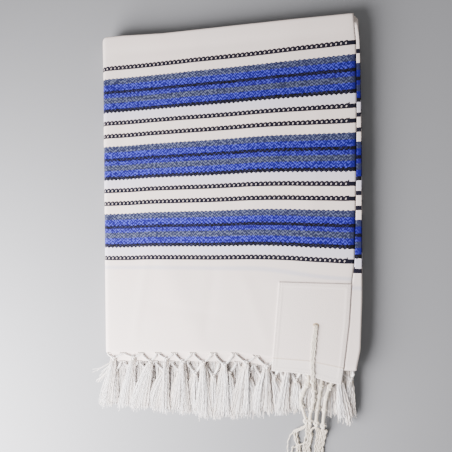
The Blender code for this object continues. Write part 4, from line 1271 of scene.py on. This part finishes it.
# ------------------------------------------------------------------ the corner tassels
# Ivory wool cords, doubled through the eyelet: one cord is wound tightly round the others between
# knots, and below the last knot eight two-ply strings hang loose. The tassels lie side by side.
STEMS = {  # points of each stem: x, y, z
    "corner_tassel_1": (
        (107.8, -133.5, 17.6), (108.2, -146.0, 16.6), (104.2, -157.0, 14.4), (100.0, -169.0, 12.0),
        (99.4, -176.0, 11.0), (102.2, -187.5, 9.2), (104.9, -197.0, 8.2), (105.6, -201.4, 7.8),
    ),
    "corner_tassel_2": (
        (113.4, -143.2, 20.6), (113.8, -147.6, 19.7), (114.2, -153.0, 18.2), (114.6, -166.0, 14.9),
        (113.2, -177.0, 12.4), (110.9, -188.0, 10.0), (110.0, -196.0, 8.6), (110.0, -200.4, 8.0),
    ),
    "corner_tassel_3": (
        (124.6, -133.5, 17.6), (123.8, -146.0, 16.6), (122.0, -159.0, 14.2), (119.9, -174.0, 11.0),
        (118.3, -188.0, 8.8), (117.6, -198.0, 7.9), (117.5, -202.6, 7.5),
    ),
    "corner_tassel_4": (
        (135.8, -133.5, 17.6), (135.2, -146.5, 16.6), (131.0, -158.0, 14.3), (128.6, -170.0, 11.8),
        (127.2, -185.0, 9.4), (126.0, -198.0, 7.9), (125.8, -204.8, 7.4),
    ),
}
WINDING_PITCH = 1.5
WINDING_RADIUS = 1.5
WINDING_CORD = 0.62
BAND_STRINGS = 5
BAND_GAP = 1.12
BAND_LIFT = 0.75
BAND_PATH = (  # x, y, spread of the flat band of strings, from the eyelet to the first knot
    (117.5, -76.9, 0.62), (115.1, -95.0, 0.95), (114.2, -108.0, 0.9), (113.2, -121.2, 0.72),
    (113.6, -139.6, 0.62),
)
STEM_KNOTS = (  # share of the stem, size
    (0.03, 2.9), (0.26, 3.2), (0.47, 2.8), (0.70, 3.0), (0.985, 3.4),
)
STEM_KNOT_YARNS = 4
STEM_KNOT_RADIUS = 0.85
STRINGS = {  # bundles: number of strings, their spacing, x of their tips, the places they pass
    "corner_tassel_1": (
        (1, 0.0, 81.0, (
            (102.7, -209.6), (93.2, -214.5), (87.8, -220.7), (83.1, -230.8), (82.1, -246.0))),
        (5, 1.2, 92.0, (
            (100.2, -211.8), (93.4, -217.0), (92.3, -222.9), (94.0, -231.6), (95.9, -244.1))),
        (2, 0.9, 84.0, (
            (105.2, -215.0), (107.6, -223.5), (105.7, -230.1), (97.7, -234.3), (92.1, -238.2),
            (87.6, -245.2))),
    ),
    "corner_tassel_2": (
        (6, 0.95, 107.5, (
            (108.9, -212.0), (110.7, -219.4), (109.5, -227.1), (107.5, -234.9), (105.8, -242.8))),
        (2, 1.0, 100.5, ((107.0, -212.2), (105.1, -222.6), (103.1, -233.0), (102.1, -243.3))),
    ),
    "corner_tassel_3": (
        (2, 1.0, 112.0, (
            (113.3, -210.0), (111.2, -215.5), (111.5, -223.1), (110.0, -232.1), (109.5, -242.4))),
        (6, 0.95, 118.5, (
            (119.3, -209.5), (120.8, -214.4), (120.3, -222.0), (119.0, -230.9), (118.2, -241.1))),
    ),
    "corner_tassel_4": (
        (8, 0.9, 128.5, (
            (127.1, -209.8), (126.3, -216.2), (125.3, -223.8), (123.8, -231.6), (123.2, -240.5))),
    ),
}
STRING_END_Y = -312.0
STRING_RAGGED = 5.0
STRING_FALL = 22.0
STRING_LEVELS = 2.1, 0.95
STRING_SWAY = 0.45
STRING_WAVE = (7.0, 10.0)
STRING_STIFF = 14.0
PLY_RADIUS = 0.48
PLY_APART = 0.36
PLY_PITCH = 3.6


def smooth_path(points, step):
    """Even points on a smooth curve through the given ones."""
    given = np.asarray(points, float)
    before, after = 2 * given[0] - given[1], 2 * given[-1] - given[-2]
    padded = np.concatenate([[before], given, [after]])
    dense = []
    for a, b, c, d in zip(padded, padded[1:], padded[2:], padded[3:]):
        t = np.linspace(0.0, 1.0, 24, endpoint=False)[:, None]
        dense.append(0.5 * (2 * b + (c - a) * t + (2 * a - 5 * b + 4 * c - d) * t ** 2
                            + (3 * b - a - 3 * c + d) * t ** 3))
    dense = np.concatenate([*dense, given[-1:]])
    walked = np.concatenate([[0.0], np.cumsum(np.linalg.norm(np.diff(dense, axis=0), axis=1))])
    even = np.linspace(0.0, walked[-1], max(4, int(walked[-1] / step)))
    return np.stack([np.interp(even, walked, dense[:, k]) for k in range(3)], 1), even


def wind(path, even, radius, pitch, phase):
    """A coil round a path."""
    run = np.gradient(path, axis=0)
    run /= np.linalg.norm(run, axis=1, keepdims=True)
    side = np.cross(run, (0.0, 0.0, 1.0))
    side /= np.linalg.norm(side, axis=1, keepdims=True)
    upright = np.cross(side, run)
    turn = (2 * math.pi * even / pitch + phase)[:, None]
    return path + radius * (side * np.cos(turn) + upright * np.sin(turn))


def make_stem(rng, points):
    """Wound length of a tassel with knots along it."""
    coarse, walked = smooth_path(points, 3.0)
    fine, even = smooth_path(points, WINDING_PITCH / 9)
    winding = wind(fine, even, WINDING_RADIUS, WINDING_PITCH, 0.0)
    groups = [(coarse[None], WINDING_RADIUS, [0.9], 8), (winding[None], WINDING_CORD, [0.3], 5)]
    for share, size in STEM_KNOTS:
        spot = [np.interp(share * even[-1], walked, coarse[:, k]) for k in range(3)]
        groups.append(knot(rng, *spot, size, STEM_KNOT_YARNS, STEM_KNOT_RADIUS))
    return groups


def make_string(rng, points):
    """One loose string: two plies laid round each other, gently crimped."""
    path, even = smooth_path(points, 1.3)
    free = np.minimum(1.0, even / STRING_STIFF)
    wave = 2 * math.pi * even / rng.uniform(*STRING_WAVE)
    path[:, 0] += STRING_SWAY * free * np.sin(wave + rng.uniform(0.0, 6.0))
    groups = []
    for phase in (0.0, math.pi):
        ply = wind(path, even, PLY_APART, PLY_PITCH, phase)
        groups.append((ply[None], PLY_RADIUS, [rng.uniform(0.0, 0.8)], 4))
    return groups


def make_tassel(name, seed):
    """A wound stem, and eight strings that spread from its last knot and fall to the table."""
    rng = np.random.default_rng(seed)
    groups = make_stem(rng, STEMS[name])
    end_x, end_y, end_z = STEMS[name][-1]
    number = 0
    for count, gap, tip_x, route in STRINGS[name]:
        for lane in np.arange(count) - (count - 1) / 2:
            root = 0.5 * (number - 3.5)
            height = 0.7 * math.sin(2.2 * number)
            drop = STRING_LEVELS[number % 2] - end_z + 1.0
            end = STRING_END_Y + STRING_RAGGED * math.sin(3.0 * number)
            tip = (tip_x + 0.5 * gap * lane, end)
            points = [(end_x + 0.6 * root, end_y - 1.5, end_z + height),
                      (end_x + 0.8 * root, end_y - 4.5, end_z - 0.8 + height)]
            for x, y in (*route, tip):
                fall = ease((end_y - y) / STRING_FALL)
                points.append((x + gap * lane, y, end_z - 1.0 + drop * fall))
            groups += make_string(rng, points)
            number += 1
    return groups


def make_band(rng):
    """Strings side by side from the eyelet over the patch to the second tassel's first knot."""
    end_x, end_y, end_z = STEMS["corner_tassel_2"][0]
    groups = []
    for lane in np.arange(BAND_STRINGS) - (BAND_STRINGS - 1) / 2:
        points = [(EYELET[0] + 0.5 * lane, EYELET[1] + 0.6, patch_z(*EYELET) - 2.6)]
        for x, y, spread in BAND_PATH:
            points.append((x + BAND_GAP * lane * spread, y, patch_z(x, y) + BAND_LIFT))
        points.append((end_x + 0.4 * lane, end_y - 0.4, end_z - 0.2))
        groups += make_string(rng, points)
    return groups


tassel_yarn = dye_yarn("tassel_wool", (242, 236, 224), (216, 202, 182), 0.10)
for number, name in enumerate(STEMS):
    groups = make_tassel(name, 20 + number)
    if name == "corner_tassel_2":
        groups += make_band(np.random.default_rng(31))
    tassel = spin(name + "_cords", groups, tassel_yarn)
    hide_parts(name)
